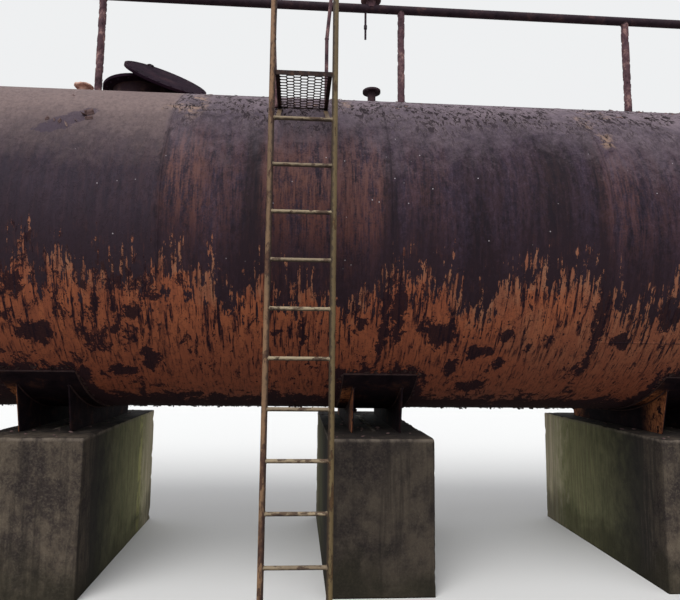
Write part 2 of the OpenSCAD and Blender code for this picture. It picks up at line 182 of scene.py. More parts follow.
class Wiring:
    def __init__(self, tree):
        self.tree = tree

    def feed(self, socket, value):
        if isinstance(value, bpy.types.NodeSocket):
            self.tree.links.new(value, socket)
        else:
            socket.default_value = value

    def put(self, kind, inputs, output=0, **settings):
        node = self.tree.nodes.new("ShaderNode" + kind)
        for key, value in settings.items():
            setattr(node, key, value)
        for key, value in inputs.items():
            self.feed(node.inputs[key], value)
        return node.outputs[output] if node.outputs else node

    def calc(self, operation, *values):
        return self.put("Math", dict(enumerate(values)), operation=operation)

    def fold(self, operation, values):
        result = values[0]
        for value in values[1:]:
            result = self.calc(operation, result, value)
        return result

    def times(self, *values):
        return self.fold("MULTIPLY", values)

    def plus(self, *values):
        return self.fold("ADD", values)

    def minus(self, first, second):
        return self.calc("SUBTRACT", first, second)

    def most(self, *values):
        return self.fold("MAXIMUM", values)

    def gap(self, value, place=0.0):
        # How far the value is from the place
        return self.calc("ABSOLUTE", self.minus(value, place))

    def total(self, *parts):
        # The sum of each part times its share
        value = 0.0
        for part, share in parts:
            value = self.put("Math", {0: part, 1: share, 2: value}, operation="MULTIPLY_ADD")
        return value

    def ramp(self, value, low, high, first=0.0, last=1.0):
        # first at low, last at high, with a soft start and end
        return self.put("MapRange", {0: value, 1: low, 2: high, 3: first, 4: last}, interpolation_type="SMOOTHSTEP")

    def swing(self, noise, reach):
        # A noise turned into a shift from -reach to reach
        return self.ramp(noise, 0.3, 0.7, -reach, reach)

    def mix(self, factor, first, second):
        node = self.tree.nodes.new("ShaderNodeMix")
        node.data_type = "RGBA"
        for key, value in ((0, factor), (6, first), (7, second)):
            self.feed(node.inputs[key], value)
        return node.outputs[2]

    def tint(self, colour, tone, *masks):
        # The colour goes to the tone by the product of the masks
        return self.mix(self.times(*masks), colour, tone)

    def vector(self, x, y, z):
        return self.put("CombineXYZ", {0: x, 1: y, 2: z})

    def vectorMath(self, operation, first, second=(0, 0, 0), output=0):
        return self.put("VectorMath", {0: first, 1: second}, output, operation=operation)

    def split(self, vector):
        node = self.tree.nodes.new("ShaderNodeSeparateXYZ")
        self.feed(node.inputs[0], vector)
        return node.outputs

    def stretch(self, vector, scale, move=(0, 0, 0)):
        return self.put("Mapping", {"Vector": vector, "Location": move, "Scale": scale})

    def noise(self, vector, scale=1.0, detail=3.0, rough=0.5, bend=0.0):
        settings = {"Vector": vector, "Scale": scale, "Detail": detail, "Roughness": rough, "Distortion": bend}
        return self.put("TexNoise", settings)

    def noises(self, place, table):
        # A row is a scale, detail, roughness and bend, then how the place is stretched and moved before it
        made = {key: self.noise(self.stretch(place, *shape) if shape else place, *form)
                for key, (form, *shape) in table.items()}
        return SimpleNamespace(**made)

    def cells(self, vector, scale, output="Distance"):
        return self.put("TexVoronoi", {"Vector": vector, "Scale": scale}, output)

    def cellDraw(self, vector, scale):
        # One random number for each cell
        return self.put("SeparateColor", {0: self.cells(vector, scale, "Color")})

    def curve(self, value, low, high, points):
        # A line through the given points, from low to high; outside it keeps its end values
        node = self.tree.nodes.new("ShaderNodeFloatCurve")
        line = node.mapping.curves[0]
        spread = [((place - low) / (high - low), height) for place, height in points]
        for k, (place, height) in enumerate(spread):
            if k < 2:
                line.points[k].location = (place, height)
            else:
                line.points.new(place, height)
        node.mapping.update()
        self.feed(node.inputs["Value"], self.put("MapRange", {0: value, 1: low, 2: high}))
        return node.outputs[0]


def newGroup(name, inputs, outputs):
    # A shader node group with named sockets; numbers make float sockets, and longer values vectors or colours
    tree = bpy.data.node_groups.new(name, "ShaderNodeTree")
    kinds = {1: "NodeSocketFloat", 3: "NodeSocketVector", 4: "NodeSocketColor"}
    for key, value in inputs.items():
        size = len(value) if isinstance(value, tuple) else 1
        tree.interface.new_socket(key, in_out="INPUT", socket_type=kinds[size]).default_value = value
    for key, size in outputs.items():
        tree.interface.new_socket(key, in_out="OUTPUT", socket_type=kinds[size])
    entry, leave = tree.nodes.new("NodeGroupInput"), tree.nodes.new("NodeGroupOutput")
    return tree, Wiring(tree), entry.outputs, leave.inputs


def useGroup(wires, group, **inputs):
    node = wires.tree.nodes.new("ShaderNodeGroup")
    node.node_tree = group
    for key, value in inputs.items():
        wires.feed(node.inputs[key], value)
    return node.outputs


def newMaterial(name):
    material = bpy.data.materials.new(name)
    material.use_nodes = True
    material.node_tree.nodes.clear()
    wires = Wiring(material.node_tree)
    return material, wires, wires.put("TexCoord", {}, "Object")


def finishMaterial(wires, colour, rough, height, specular):
    # Height is in metres
    bump = wires.put("Bump", {"Strength": 1.0, "Distance": 1.0, "Height": height}, "Normal")
    sockets = {"Base Color": colour, "Roughness": rough, "Normal": bump, "Specular IOR Level": specular}
    shader = wires.put("BsdfPrincipled", sockets)
    wires.put("OutputMaterial", {"Surface": shader})


def finishFrom(wires, made, specular):
    finishMaterial(wires, made["Color"], made["Roughness"], made["Height"], specular)


# Groups that several materials share

noVector, noColour = (0.0, 0.0, 0.0), (0.0, 0.0, 0.0, 1.0)
lookOutputs = {"Color": 4, "Roughness": 1, "Height": 1}


def makeSoftSpot():
    # One in the middle of an ellipse, falling to nothing at its rim
    tree, w, given, out = newGroup("soft_spot", {"Point": noVector, "Middle": noVector, "Reach": (1.0, 1.0, 1.0)},
                                   {"Value": 1})
    away = w.vectorMath("SUBTRACT", given["Point"], given["Middle"])
    away = w.vectorMath("DIVIDE", away, given["Reach"])
    w.feed(out["Value"], w.ramp(w.vectorMath("LENGTH", away, output="Value"), 1.0, 0.25))
    return tree


mottleValues = {"fineScale": 7.0, "pitScale": 4.0, "spread": 0.22, "pitShare": 0.6, "rough": (0.68, 0.92),
                "cloudHigh": 0.0016, "fineHigh": 0.0009, "pitDeep": 0.0008}


def makeRustMottle():
    # Rust in three tones: broad clouds, fine grains and small dark pits, with its roughness and its height
    v = mottleValues
    tree, w, given, out = newGroup("rust_mottle", {"Vector": noVector, "Scale": 10.0, "Dark": noColour,
                                                  "Middle": noColour, "Light": noColour, "Contrast": 1.0},
                                   lookOutputs)
    place, scale = given["Vector"], given["Scale"]
    clouds = w.noise(place, scale, 5.0, 0.6, 0.4)
    fine = w.noise(place, w.times(scale, v["fineScale"]), 4.0, 0.65)
    pits = w.cells(place, w.times(scale, v["pitScale"]))
    spread = w.times(given["Contrast"], v["spread"])
    tone = w.plus(w.times(clouds, 0.7), w.times(fine, 0.3))
    colour = w.mix(w.ramp(tone, w.minus(0.5, spread), 0.5), given["Dark"], given["Middle"])
    colour = w.mix(w.ramp(tone, 0.5, w.plus(0.5, spread)), colour, given["Light"])
    pitMask = w.times(w.ramp(pits, 0.3, 0.1), w.ramp(clouds, 0.45, 0.6))
    w.feed(out["Color"], w.tint(colour, given["Dark"], pitMask, v["pitShare"]))
    w.feed(out["Roughness"], w.ramp(fine, 0.35, 0.7, *v["rough"]))
    height = w.plus(w.times(clouds, v["cloudHigh"]), w.times(fine, v["fineHigh"]))
    w.feed(out["Height"], w.minus(height, w.times(pitMask, v["pitDeep"])))
    return tree


def makeWornPaint():
    # Paint that has come off in ragged patches: how much is left, 0 or 1, and the step at its edge
    tree, w, given, out = newGroup("worn_paint", {"Vector": noVector, "Scale": 10.0, "Wear": 0.5},
                                   {"Paint": 1, "Edge": 1, "Height": 1})
    patches = w.noise(given["Vector"], given["Scale"], 6.0, 0.65, 0.3)
    above = w.minus(patches, w.ramp(given["Wear"], 0.0, 1.0, 0.3, 0.7))
    paint = w.ramp(above, -0.006, 0.006)
    w.feed(out["Paint"], paint)
    w.feed(out["Edge"], w.times(w.ramp(above, -0.03, 0.0), w.ramp(above, 0.03, 0.0)))
    w.feed(out["Height"], w.times(paint, 0.0005))
    return tree


softSpot, rustMottle, wornPaint = makeSoftSpot(), makeRustMottle(), makeWornPaint()


# The tank's paint: a dark, dusty upper half, lighter to the crown partly as painted sheen, a ragged edge, and
# orange-brown paint below, darker to the bottom partly as painted shade, with rust coming through

tankTones = {
    "black": linear(26, 17, 27), "soot": linear(43, 32, 45), "dusk": linear(64, 52, 67), "even": linear(50, 41, 51),
    "lowCoat": linear(46, 29, 37), "brown": linear(108, 73, 66), "redBrown": linear(92, 54, 46),
    # the two dust tones are dust, and also painted sheen at the crown
    "dustAndSheen": linear(119, 104, 112), "warmDustAndSheen": linear(126, 107, 104), "scabAndShadow": linear(33, 22, 28),
    # the dark scab tone is partly painted shadow under curled edges, and the scab rim tone a painted highlight
    "scabRimHighlight": linear(164, 144, 146), "pale": linear(166, 134, 108), "orange": linear(162, 93, 62),
    # the lower orange tone is partly painted shade towards the bottom
    "tan": linear(154, 105, 80), "deepOrangeAndShade": linear(132, 72, 52), "drip": linear(57, 26, 27),
    "rust": linear(23, 12, 24), "rustGrain": linear(44, 25, 34), "speck": linear(192, 184, 188),
}
# Lines along the tank, from -3 m to 3 m: where the paint begins below the axis, then how brown, how black and
# how dusty the coat is, its dust standing partly for painted sheen
lineReach = 3
edgeLine = [(-3.0, 0.69), (-2.35, 0.68), (-2.1, 0.62), (-1.56, 0.60), (-1.45, 0.66), (-1.3, 0.60), (-1.15, 0.5),
            (-0.9, 0.53), (-0.55, 0.5), (-0.3, 0.42), (-0.05, 0.56), (0.15, 0.62), (0.35, 0.56), (0.6, 0.4),
            (0.85, 0.55), (1.3, 0.6), (1.6, 0.46), (2.2, 0.5), (3.0, 0.55)]
brownLine = [(-3.0, 0.1), (-1.55, 0.15), (-1.44, 1.0), (-1.28, 0.85), (-1.15, 0.45), (-1.0, 0.4), (-0.9, 0.1),
             (-0.8, 1.0), (-0.45, 1.0), (-0.36, 0.75), (-0.1, 0.8), (0.0, 0.1), (0.12, 0.3), (0.3, 0.3),
             (0.5, 0.1), (0.9, 0.15), (1.35, 0.1), (1.55, 0.5), (1.8, 0.25), (3.0, 0.2)]
blackLine = [(-3.0, 0.0), (-1.02, 0.0), (-0.96, 0.6), (-0.87, 1.0), (-0.82, 0.2), (-0.6, 0.0), (-0.08, 0.0),
             (-0.02, 0.8), (0.03, 0.5), (0.1, 0.1), (0.5, 0.4), (0.7, 0.7), (0.8, 0.3), (1.0, 0.8), (1.2, 0.6),
             (1.3, 0.3), (1.43, 1.0), (1.5, 0.1), (2.0, 0.1), (2.4, 0.5), (3.0, 0.0)]
dustSheenLine = [(-3.0, 1.0), (-1.6, 1.0), (-1.45, 0.33), (-0.9, 0.18), (0.0, 0.3), (1.0, 0.26), (1.6, 0.5), (3.0, 0.46)]
# Dark rust that shows through the paint: place along the tank and along the plate from the axis, and half sizes
rustSpots = [
    (0.07, -0.58, 0.045, 0.34), (-0.02, -0.66, 0.04, 0.42), (-0.18, -0.71, 0.05, 0.06), (-0.2, -0.6, 0.02, 0.14),
    (0.26, -0.71, 0.07, 0.08), (0.37, -0.77, 0.12, 0.12), (0.49, -1.05, 0.07, 0.1), (0.64, -0.91, 0.08, 0.07),
    (0.74, -0.91, 0.05, 0.06), (0.83, -1.0, 0.06, 0.08), (0.83, -0.78, 0.04, 0.07), (1.005, -0.87, 0.035, 0.045),
    (1.145, -0.8, 0.03, 0.04), (1.46, -0.72, 0.05, 0.5), (1.655, -0.81, 0.09, 0.09), (1.95, -0.58, 0.1, 0.16),
    (0.66, -1.28, 0.16, 0.1), (-1.6, -0.99, 0.07, 0.13), (-1.8, -1.12, 0.12, 0.06), (-1.68, -0.62, 0.07, 0.04),
    (-0.733, -0.775, 0.07, 0.03), (-0.577, -0.79, 0.03, 0.16), (0.55, -0.46, 0.1, 0.12), (-2.3, -0.78, 0.14, 0.1),
]
# Pale, flaking patches near the crown, and the bare dark one that slants down to the left, in the same form
paleSpots = [(-1.36, 1.08, 0.1, 0.3), (-1.5, 0.95, 0.07, 0.12), (-0.28, 1.12, 0.07, 0.16), (1.5, 0.95, 0.07, 0.15),
             (1.57, 0.72, 0.08, 0.14), (1.67, 1.1, 0.1, 0.12)]
bareSpots = [(-2.3, 0.63, 0.09, 0.07), (-2.22, 0.69, 0.1, 0.1), (-2.13, 0.77, 0.09, 0.1), (-2.06, 0.84, 0.06, 0.06)]
coatNoises = {
    "broad": ((1.6, 4.0, 0.55),), "ragged": ((9.0, 8.0, 0.7, 0.5),), "grain": ((80.0, 5.0, 0.72),),
    "clumps": ((5.0, 3.0, 0.5),), "bands": ((1.0, 3.0, 0.5), (9, 0.9, 5)),
    "streaks": ((1.0, 6.0, 0.68, 0.3), (24, 2.2, 9)), "fingers": ((1.0, 5.0, 0.62), (36, 5, 9), (3, 1, 2)),
    "threads": ((1.0, 4.0, 0.6), (76, 7, 20), (5, 7, 1)), "runLines": ((1.0, 1.5, 0.5), (54, 0.8, 16), (1, 3, 8)),
    "beads": ((1.0, 3.0, 0.6), (80, 34, 20), (2, 4, 6)), "mottle": ((36.0, 5.0, 0.7, 0.4), (1, 0.55, 1)),
    "scabs": ((22.0, 6.0, 0.66, 0.5), (1.7, 0.62, 1)), "islands": ((8.5, 9.0, 0.7, 0.6), (1.3, 0.75, 1)),
}
# How far each noise moves the paint's upper edge, in metres
edgeShake = {"bands": 0.11, "fingers": 0.18, "threads": 0.085, "ragged": 0.08, "mottle": 0.09}
# Dots of rust: how close the cells lie, the share of cells left out, and the widest dot
rustDots = ((26.0, 0.62, 0.24), (64.0, 0.74, 0.28))
coatValues = {"edgeDrop": 0.97, "leftFrom": (-1.46, -1.54), "rustFrom": (1.14, 1.17), "dustSheenPower": 1.25,
              "speckScale": 17.0, "coatRough": 0.76, "paintRough": 0.62, "rustRough": 0.9, "paintThick": 0.0009}


def upperCoat(w, n, at):
    # Black, soot and dusk in streaks, more even on the left, with brown where its line says and near the edge
    tone = tankTones
    shade = w.total((n.bands, 0.2), (n.streaks, 0.22), (n.mottle, 0.34), (n.grain, 0.24))
    black = w.times(at.line(blackLine), w.ramp(at.rise, 1.0, 0.45))
    shade = w.total((shade, 1.0), (black, -0.085), (at.nearEdge, -0.04))
    colour = w.mix(w.ramp(shade, 0.405, 0.49), tone["black"], tone["soot"])
    colour = w.mix(w.ramp(shade, 0.48, 0.58), colour, tone["dusk"])
    colour = w.tint(colour, tone["even"], at.left, 0.62)
    brown = w.mix(w.ramp(w.total((at.rise, 1.0), (n.threads, 1.2)), 1.1, 0.4), tone["brown"], tone["redBrown"])
    brownMask = w.ramp(w.total((n.streaks, 0.4), (n.threads, 0.2), (n.grain, 0.22), (n.ragged, 0.18)), 0.42, 0.57)
    colour = w.tint(colour, brown, brownMask, at.line(brownLine), w.ramp(at.rise, 0.95, 0.3),
                    w.ramp(at.nearEdge, 0.0, 1.0, 1.0, 0.35))
    colour = w.tint(colour, tone["lowCoat"], at.nearEdge, 0.6)
    lowBrown = w.ramp(w.total((n.threads, 0.5), (n.ragged, 0.5)), 0.52, 0.64)
    return w.tint(colour, tone["redBrown"], lowBrown, w.ramp(at.below, -0.4, 0.0), 0.5)


def addDustAndSheen(w, n, at, colour):
    # Dust, with painted sheen, thickens towards the crown: clouds move its height, and its line moves where it
    # starts and is full
    dustSheenShare = at.line(dustSheenLine)
    cloud = w.ramp(w.total((n.ragged, 0.8), (n.broad, 0.5), (n.grain, 0.35)), 0.55, 1.1, -0.28, 0.28)
    height = w.plus(at.rise, w.times(cloud, w.ramp(at.left, 0, 1, 1.0, 0.4)))
    start, full = w.ramp(dustSheenShare, 0, 1, 0.42, 0.3), w.ramp(dustSheenShare, 0, 1, 1.3, 0.94)
    dustAndSheen = w.put("MapRange", {0: height, 1: start, 2: full})
    dustAndSheen = w.calc("POWER", w.times(dustAndSheen, w.ramp(n.mottle, 0.32, 0.6, 0.76, 1.0)), coatValues["dustSheenPower"])
    # painted sheen: the pale dust tones brighten the crown partly in place of the sky's reflection
    return w.mix(dustAndSheen, colour, w.mix(at.left, tankTones["dustAndSheen"], tankTones["warmDustAndSheen"]))


def addScabs(w, n, at, given, colour):
    # Scabs on the crown, dark partly as painted shadow under curled edges, with pale rims of painted highlight,
    # away from the smooth left courses, and pale or bare patches
    tone, pale, bare = tankTones, given["Pale"], given["Bare"]
    area = w.times(w.ramp(w.total((at.rise, 1.0), (n.broad, 0.7)), 0.95, 1.3), w.ramp(n.clumps, 0.37, 0.52),
                   w.minus(1.0, w.times(at.left, 0.93)))
    colour = w.tint(colour, tone["pale"], pale, w.ramp(n.ragged, 0.46, 0.58), 0.6)
    # painted highlight: a pale ring round each scab
    rim = w.times(w.ramp(n.scabs, 0.48, 0.525), w.ramp(n.scabs, 0.555, 0.525))
    colour = w.tint(colour, tone["scabRimHighlight"], rim, area, 0.65)
    # the scabs' dark colour, partly painted shadow under their curled edges
    scabAndShadow = w.most(w.times(w.ramp(n.scabs, 0.508, 0.528), area), w.times(pale, w.ramp(n.scabs, 0.57, 0.59)))
    colour = w.tint(colour, tone["scabAndShadow"], scabAndShadow, 0.95)
    bareMask = w.ramp(w.total((bare, 0.7), (n.ragged, 0.8), (n.mottle, 0.9)), 1.08, 1.2)
    return w.tint(colour, tone["dusk"], bareMask, w.ramp(bare, 0.0, 0.15), 0.7), scabAndShadow


def orangePaint(w, n, at):
    # Orange that turns tan to the right and at its tips and darker and browner below, partly as painted shade, with
    # dark threads and long runs
    tone = tankTones
    toRight = w.ramp(w.plus(at.layout, w.swing(n.broad, 0.5)), 0.6, 1.2, 0.0, 0.7)
    atTips = w.ramp(w.plus(at.below, w.swing(n.ragged, 0.1)), 0.16, -0.06)
    threads = w.total((n.threads, 0.3), (n.mottle, 0.35), (n.grain, 0.35))
    colour = w.mix(toRight, tone["orange"], tone["tan"])
    colour = w.mix(atTips, colour, tone["tan"])
    # painted shade: the orange darkens towards the bottom of the tank
    colour = w.mix(w.ramp(at.rise, -0.6, -1.2, 0.0, 0.7), colour, tone["deepOrangeAndShade"])
    colour = w.mix(w.ramp(n.streaks, 0.42, 0.6, 0.6, 0.0), colour, tone["deepOrangeAndShade"])
    colour = w.mix(w.ramp(threads, 0.52, 0.38, 0.0, 0.8), colour, tone["drip"])
    runs = w.ramp(w.total((n.runLines, 0.8), (n.ragged, 0.2)), 0.53, 0.6)
    return w.tint(colour, tone["drip"], runs, w.ramp(at.below, 1.0, 0.2, 0.5, 1.0), 0.85)


def rustThrough(w, n, at, given):
    # Rust where the sum of its noises and marks is high, in chains of blisters down the runs, and in dots
    chains = w.minus(w.total((n.runLines, 0.62), (n.beads, 0.5)), w.ramp(at.below, 0.15, 0.8, 0.0, 0.045))
    onLeft = w.times(at.left, w.ramp(at.below, 0.0, 0.6, 0.125, 0.05))
    # more rust towards the underside, partly painted shade darkening the lowest part
    lowRustAndShade = w.ramp(w.total((at.rise, 1.0), (n.ragged, 0.6)), -1.0, -1.35, 0.0, 0.3)
    level = w.total((n.islands, 1.0), (n.streaks, 0.1), (n.ragged, 0.25), (given["Spots"], 0.3), (n.grain, 0.36),
                    (n.mottle, 0.34), (onLeft, 1.0), (lowRustAndShade, 1.0), (given["Plate"], 0.24))
    rust = w.most(w.ramp(level, *coatValues["rustFrom"]), w.ramp(chains, 0.648, 0.668))
    place = w.stretch(at.place, (1, 0.55, 1))
    for scale, leftOut, widest in rustDots:
        reach = w.ramp(w.cellDraw(place, scale), leftOut, 1.0, 0.0, widest)
        rust = w.most(rust, w.ramp(w.minus(reach, w.cells(place, scale)), 0.0, 0.05))
    return rust


def makeTankPaint():
    # The coat and its dust with painted sheen, then scabs with painted shadow and highlight, then the paint wherever
    # it lies below the shaken edge line, and its rust
    v, tone = coatValues, tankTones
    inputs = ("Across", "Rise", "Depth", "Layout", "Spots", "Pale", "Bare", "Seam", "Plate")
    tree, w, given, out = newGroup("tank_paint", dict.fromkeys(inputs, 0.0), lookOutputs)
    rise, layout = given["Rise"], given["Layout"]
    place = w.vector(given["Across"], rise, given["Depth"])
    n = w.noises(place, coatNoises)

    def line(points):
        return w.curve(layout, -lineReach, lineReach, points)

    below = w.minus(w.minus(line(edgeLine), v["edgeDrop"]), rise)
    at = SimpleNamespace(place=place, rise=rise, layout=layout, line=line, below=below,
                         nearEdge=w.ramp(below, -0.55, -0.08), left=w.ramp(layout, *v["leftFrom"]))
    colour = addDustAndSheen(w, n, at, upperCoat(w, n, at))
    colour, scabAndShadow = addScabs(w, n, at, given, colour)
    shake = w.total(*((w.swing(getattr(n, key), reach), 1.0) for key, reach in edgeShake.items()))
    paint = w.ramp(w.plus(below, shake), -0.008, 0.02)
    rust = rustThrough(w, n, at, given)
    rustColour = w.mix(w.ramp(n.grain, 0.45, 0.7), tone["rust"], tone["rustGrain"])
    colour = w.mix(paint, colour, w.tint(orangePaint(w, n, at), rustColour, rust, 0.93))

    # small white specks, and the dark lines at the weld seams
    often = w.ramp(w.gap(layout, -0.12), 0.55, 0.25, 0.8, 0.3)
    picked = w.calc("GREATER_THAN", w.cellDraw(place, v["speckScale"]), often)
    colour = w.tint(colour, tone["speck"], w.ramp(w.cells(place, v["speckScale"]), 0.085, 0.05), picked,
                    w.ramp(n.ragged, 0.4, 0.5), w.ramp(w.gap(rise, 0.2), 0.6, 0.35), w.ramp(n.broad, 0.4, 0.5), 0.8)
    colour = w.tint(colour, tone["black"], given["Seam"], w.ramp(below, -0.2, 0.15, 1.0, 0.7),
                    w.ramp(n.ragged, 0.42, 0.6, 0.3, 1.0))
    w.feed(out["Color"], colour)

    rough = w.mix(paint, grey(v["coatRough"]), grey(v["paintRough"]))
    rough = w.mix(w.most(w.times(rust, paint), scabAndShadow), rough, grey(v["rustRough"]))
    w.feed(out["Roughness"], w.plus(rough, w.swing(n.grain, 0.06)))
    whole = w.times(paint, w.minus(1.0, rust))
    height = w.total((whole, v["paintThick"]), (n.grain, 0.0011), (w.times(scabAndShadow, n.ragged), 0.006),
                     (n.ragged, 0.0018), (w.times(rust, n.grain), 0.0016), (w.times(given["Pale"], n.scabs), 0.005))
    w.feed(out["Height"], height)
    return tree


tankPaint = makeTankPaint()
# Dark lines at the girth welds, of which one is wide; how far the marks spread and waver; the saddles' dark rims
shellLook = {"wide": 0.034, "thin": 0.009, "wideAt": -1.5, "wideShift": 0.024, "spotSpread": 1.2,
             "waver": (0.2, 0.22, 0.0), "rearPlace": -0.9, "rearMove": 9.0, "rimReach": (0.16, 0.03),
             "rimRise": (-0.98, -1.2), "specular": 0.2}


def wrapped(w, x):
    # Where x lies between saddles: 0 at each saddle's middle
    return w.minus(w.calc("WRAP", w.plus(x, saddlePitch / 2), saddlePitch, 0.0), saddlePitch / 2)


def seamMask(w, place, x, rise):
    # One at each girth weld, falling to nothing at its line's edge; the wide line narrows up and down
    v, seam = shellLook, 0.0
    for seamX in seams[1:-1]:
        value = w.ramp(w.gap(x, seamX), v["thin"], v["thin"] * 0.3)
        if abs(seamX - v["wideAt"]) < 0.1:
            wide = w.times(w.ramp(rise, -0.4, 0.0, v["thin"], v["wide"]), w.ramp(rise, 1.0, 0.3))
            shift = w.ramp(w.noise(place, 22.0, 4.0, 0.6), 0.3, 0.7, 0.0, v["wideShift"])
            off = w.gap(w.minus(x, seamX), shift)
            value = w.most(value, w.ramp(w.calc("DIVIDE", off, w.plus(wide, 0.001)), 1.3, 0.5))
        seam = w.most(seam, value)
    return seam


def shellMaterial(name, seamPart, leastSeam=0.0):
    # On the courses the paint follows the plate: along the tank, and round it from the axis
    v = shellLook
    material, w, place = newMaterial(name)
    x, y, z = w.split(place)
    rise = w.times(w.calc("ARCTAN2", w.minus(z, axisZ), w.calc("ABSOLUTE", y)), shellRadius)
    front = w.calc("LESS_THAN", y, 0.0)
    rear = w.minus(1.0, front)
    layout = w.plus(w.times(front, x), w.times(rear, w.times(x, v["rearPlace"])))
    waver = w.vectorMath("SUBTRACT", w.noise(place, 13.0, 5.0, 0.72), (0.5, 0.5, 0.5))
    point = w.vectorMath("ADD", w.vector(x, rise, w.times(rear, v["rearMove"])),
                         w.vectorMath("MULTIPLY", waver, v["waver"]))
    marks = []
    for places in (rustSpots, paleSpots, bareSpots):
        value = 0.0
        for spotX, spotRise, *half in places:
            reach = (half[0] * v["spotSpread"], half[1] * v["spotSpread"], 1.0)
            spot = useGroup(w, softSpot, Point=point, Middle=(spotX, spotRise, 0), Reach=reach)
            value = w.most(value, spot["Value"])
        marks.append(value)
    seam = w.most(w.times(seamMask(w, place, x, rise), seamPart), leastSeam)
    plateHalf = plateBoxes[2][1].x
    far, near = (plateHalf + reach for reach in v["rimReach"])
    plate = w.times(w.ramp(w.calc("ABSOLUTE", wrapped(w, x)), far, near), w.ramp(rise, *v["rimRise"]))
    painted = useGroup(w, tankPaint, Across=x, Rise=rise, Depth=w.times(y, 0.7), Layout=layout, Spots=marks[0],
                       Pale=marks[1], Bare=marks[2], Seam=seam, Plate=plate)
    finishFrom(w, painted, v["specular"])
    return material


def headMaterial():
    # On the dished heads the paint runs down the flat of the head
    material, w, place = newMaterial("shell_paint_heads")
    x, y, z = w.split(place)
    painted = useGroup(w, tankPaint, Across=w.plus(y, 20.0), Rise=w.times(w.minus(z, axisZ), 1.15),
                       Depth=w.times(x, 0.7), Layout=w.plus(w.times(y, 0.9), 0.4))
    finishFrom(w, painted, shellLook["specular"])
    return material


def rustMaterial(name, tones, scale, contrast=1.0, stretch=(1, 1, 1), specular=0.2):
    # The tones are the dark, the middle and the light one
    dark, middle, light = (linear(*t) for t in tones)
    material, w, place = newMaterial(name)
    rust = useGroup(w, rustMottle, Vector=w.stretch(place, stretch), Scale=scale, Dark=dark, Middle=middle,
                    Light=light, Contrast=contrast)
    finishFrom(w, rust, specular)
    return material


def paintMaterial(name, tones, scale, wear, stretch, shade=(0, 0, 0.4)):
    # Old paint over rust, its tones the paint, the faded paint and the rust's three; the shade vector points
    # away from the side that is darkened as painted shade
    paint, faded, dark, middle, light = (linear(*t) for t in tones)
    material, w, place = newMaterial(name)
    rust = useGroup(w, rustMottle, Vector=place, Scale=scale * 1.5, Dark=dark, Middle=middle, Light=light)
    worn = useGroup(w, wornPaint, Vector=w.stretch(place, stretch), Scale=scale, Wear=wear)
    coat = w.mix(w.ramp(w.noise(w.stretch(place, stretch), 3.0, 4.0, 0.6), 0.35, 0.65), paint, faded)
    coat = w.mix(w.ramp(w.noise(place, 60.0, 3.0, 0.6), 0.4, 0.75, 0.0, 0.35), coat, middle)
    colour = w.mix(worn["Paint"], rust["Color"], coat)
    colour = w.tint(colour, dark, worn["Edge"], 0.5)
    # painted shade: the side turned away from the shade vector darkens towards the dark rust tone
    turned = w.vectorMath("DOT_PRODUCT", w.put("NewGeometry", {}, "Normal"), shade, "Value")
    turned = w.plus(turned, w.swing(w.noise(place, 30.0, 4.0, 0.6), 0.3))
    colour = w.mix(w.ramp(turned, 0.0, -0.7, 0.0, 0.8), colour, dark)
    rough = w.mix(worn["Paint"], rust["Roughness"], grey(0.62))
    finishMaterial(w, colour, rough, w.plus(worn["Height"], w.times(rust["Height"], 0.5)), 0.25)
    return material


concreteTones = {
    "dark": linear(50, 43, 42), "light": linear(98, 87, 75), "grit": linear(128, 118, 102), "run": linear(36, 32, 31),
    "black": linear(34, 33, 36), "algae": linear(172, 172, 124), "yellow": linear(206, 202, 124),
    # the rear tone is painted light, making the long faces pale towards the rear
    # the top tone is painted shadow on the piers' tops under the tank
    "rear": linear(224, 210, 182), "top": linear(38, 33, 32), "edge": linear(124, 113, 102),
    "foot": linear(46, 44, 32),
}
concreteNoises = {
    "clouds": ((2.4, 5.0, 0.55, 0.4),), "mottle": ((11.0, 6.0, 0.66, 0.3), (1, 1, 0.7)), "fine": ((70.0, 4.0, 0.7),),
    "runs": ((1.0, 5.0, 0.62), (17, 17, 1.0)), "fineRuns": ((1.0, 5.0, 0.65), (1, 46, 2.4)),
}
# On a pier's two long faces: how black and how green they are from the front edge to the rear one
pierReach = 0.91
pierBlack = [(-0.91, 0.3), (-0.78, 0.45), (-0.62, 0.9), (-0.35, 0.85), (0.1, 0.5), (0.4, 0.15), (0.91, 0.0)]
pierGreen = [(-0.91, 0.0), (-0.6, 0.05), (-0.2, 0.4), (0.2, 0.75), (0.5, 0.85), (0.7, 0.45), (0.91, 0.25)]
# The yellow stripe on the left piers, the damp patch on the middle one, and the height of the relief
concreteValues = {"stripeY": 0.47, "stripeTo": -1.2, "damp": (1.1, 1.3), "pores": 48.0, "cloudHigh": 0.004,
                  "fineHigh": 0.0012, "mottleHigh": 0.003, "poreDeep": 0.0012, "rough": 0.92, "specular": 0.15}


def longFaceColour(w, n, tone, colour, x, y):
    # From black to algae to pale towards the rear, the pale being painted light from behind, in upright streaks
    v = concreteValues
    shifted = w.plus(y, w.swing(n.mottle, 0.07), w.swing(n.fineRuns, 0.08))
    # painted light: the long faces turn pale towards the rear
    side = w.tint(colour, tone["rear"], w.ramp(shifted, 0.42, 0.66), w.ramp(n.runs, 0.4, 0.6, 0.9, 0.5))
    side = w.mix(w.curve(shifted, -pierReach, pierReach, pierBlack), side, tone["black"])
    side = w.tint(side, tone["algae"], w.curve(shifted, -pierReach, pierReach, pierGreen),
                  w.ramp(n.fineRuns, 0.36, 0.6, 0.95, 0.5), 0.92)
    return w.tint(side, tone["yellow"], w.ramp(w.gap(y, v["stripeY"]), 0.07, 0.02), w.ramp(n.mottle, 0.4, 0.56),
                  w.calc("LESS_THAN", x, v["stripeTo"]), 0.5)


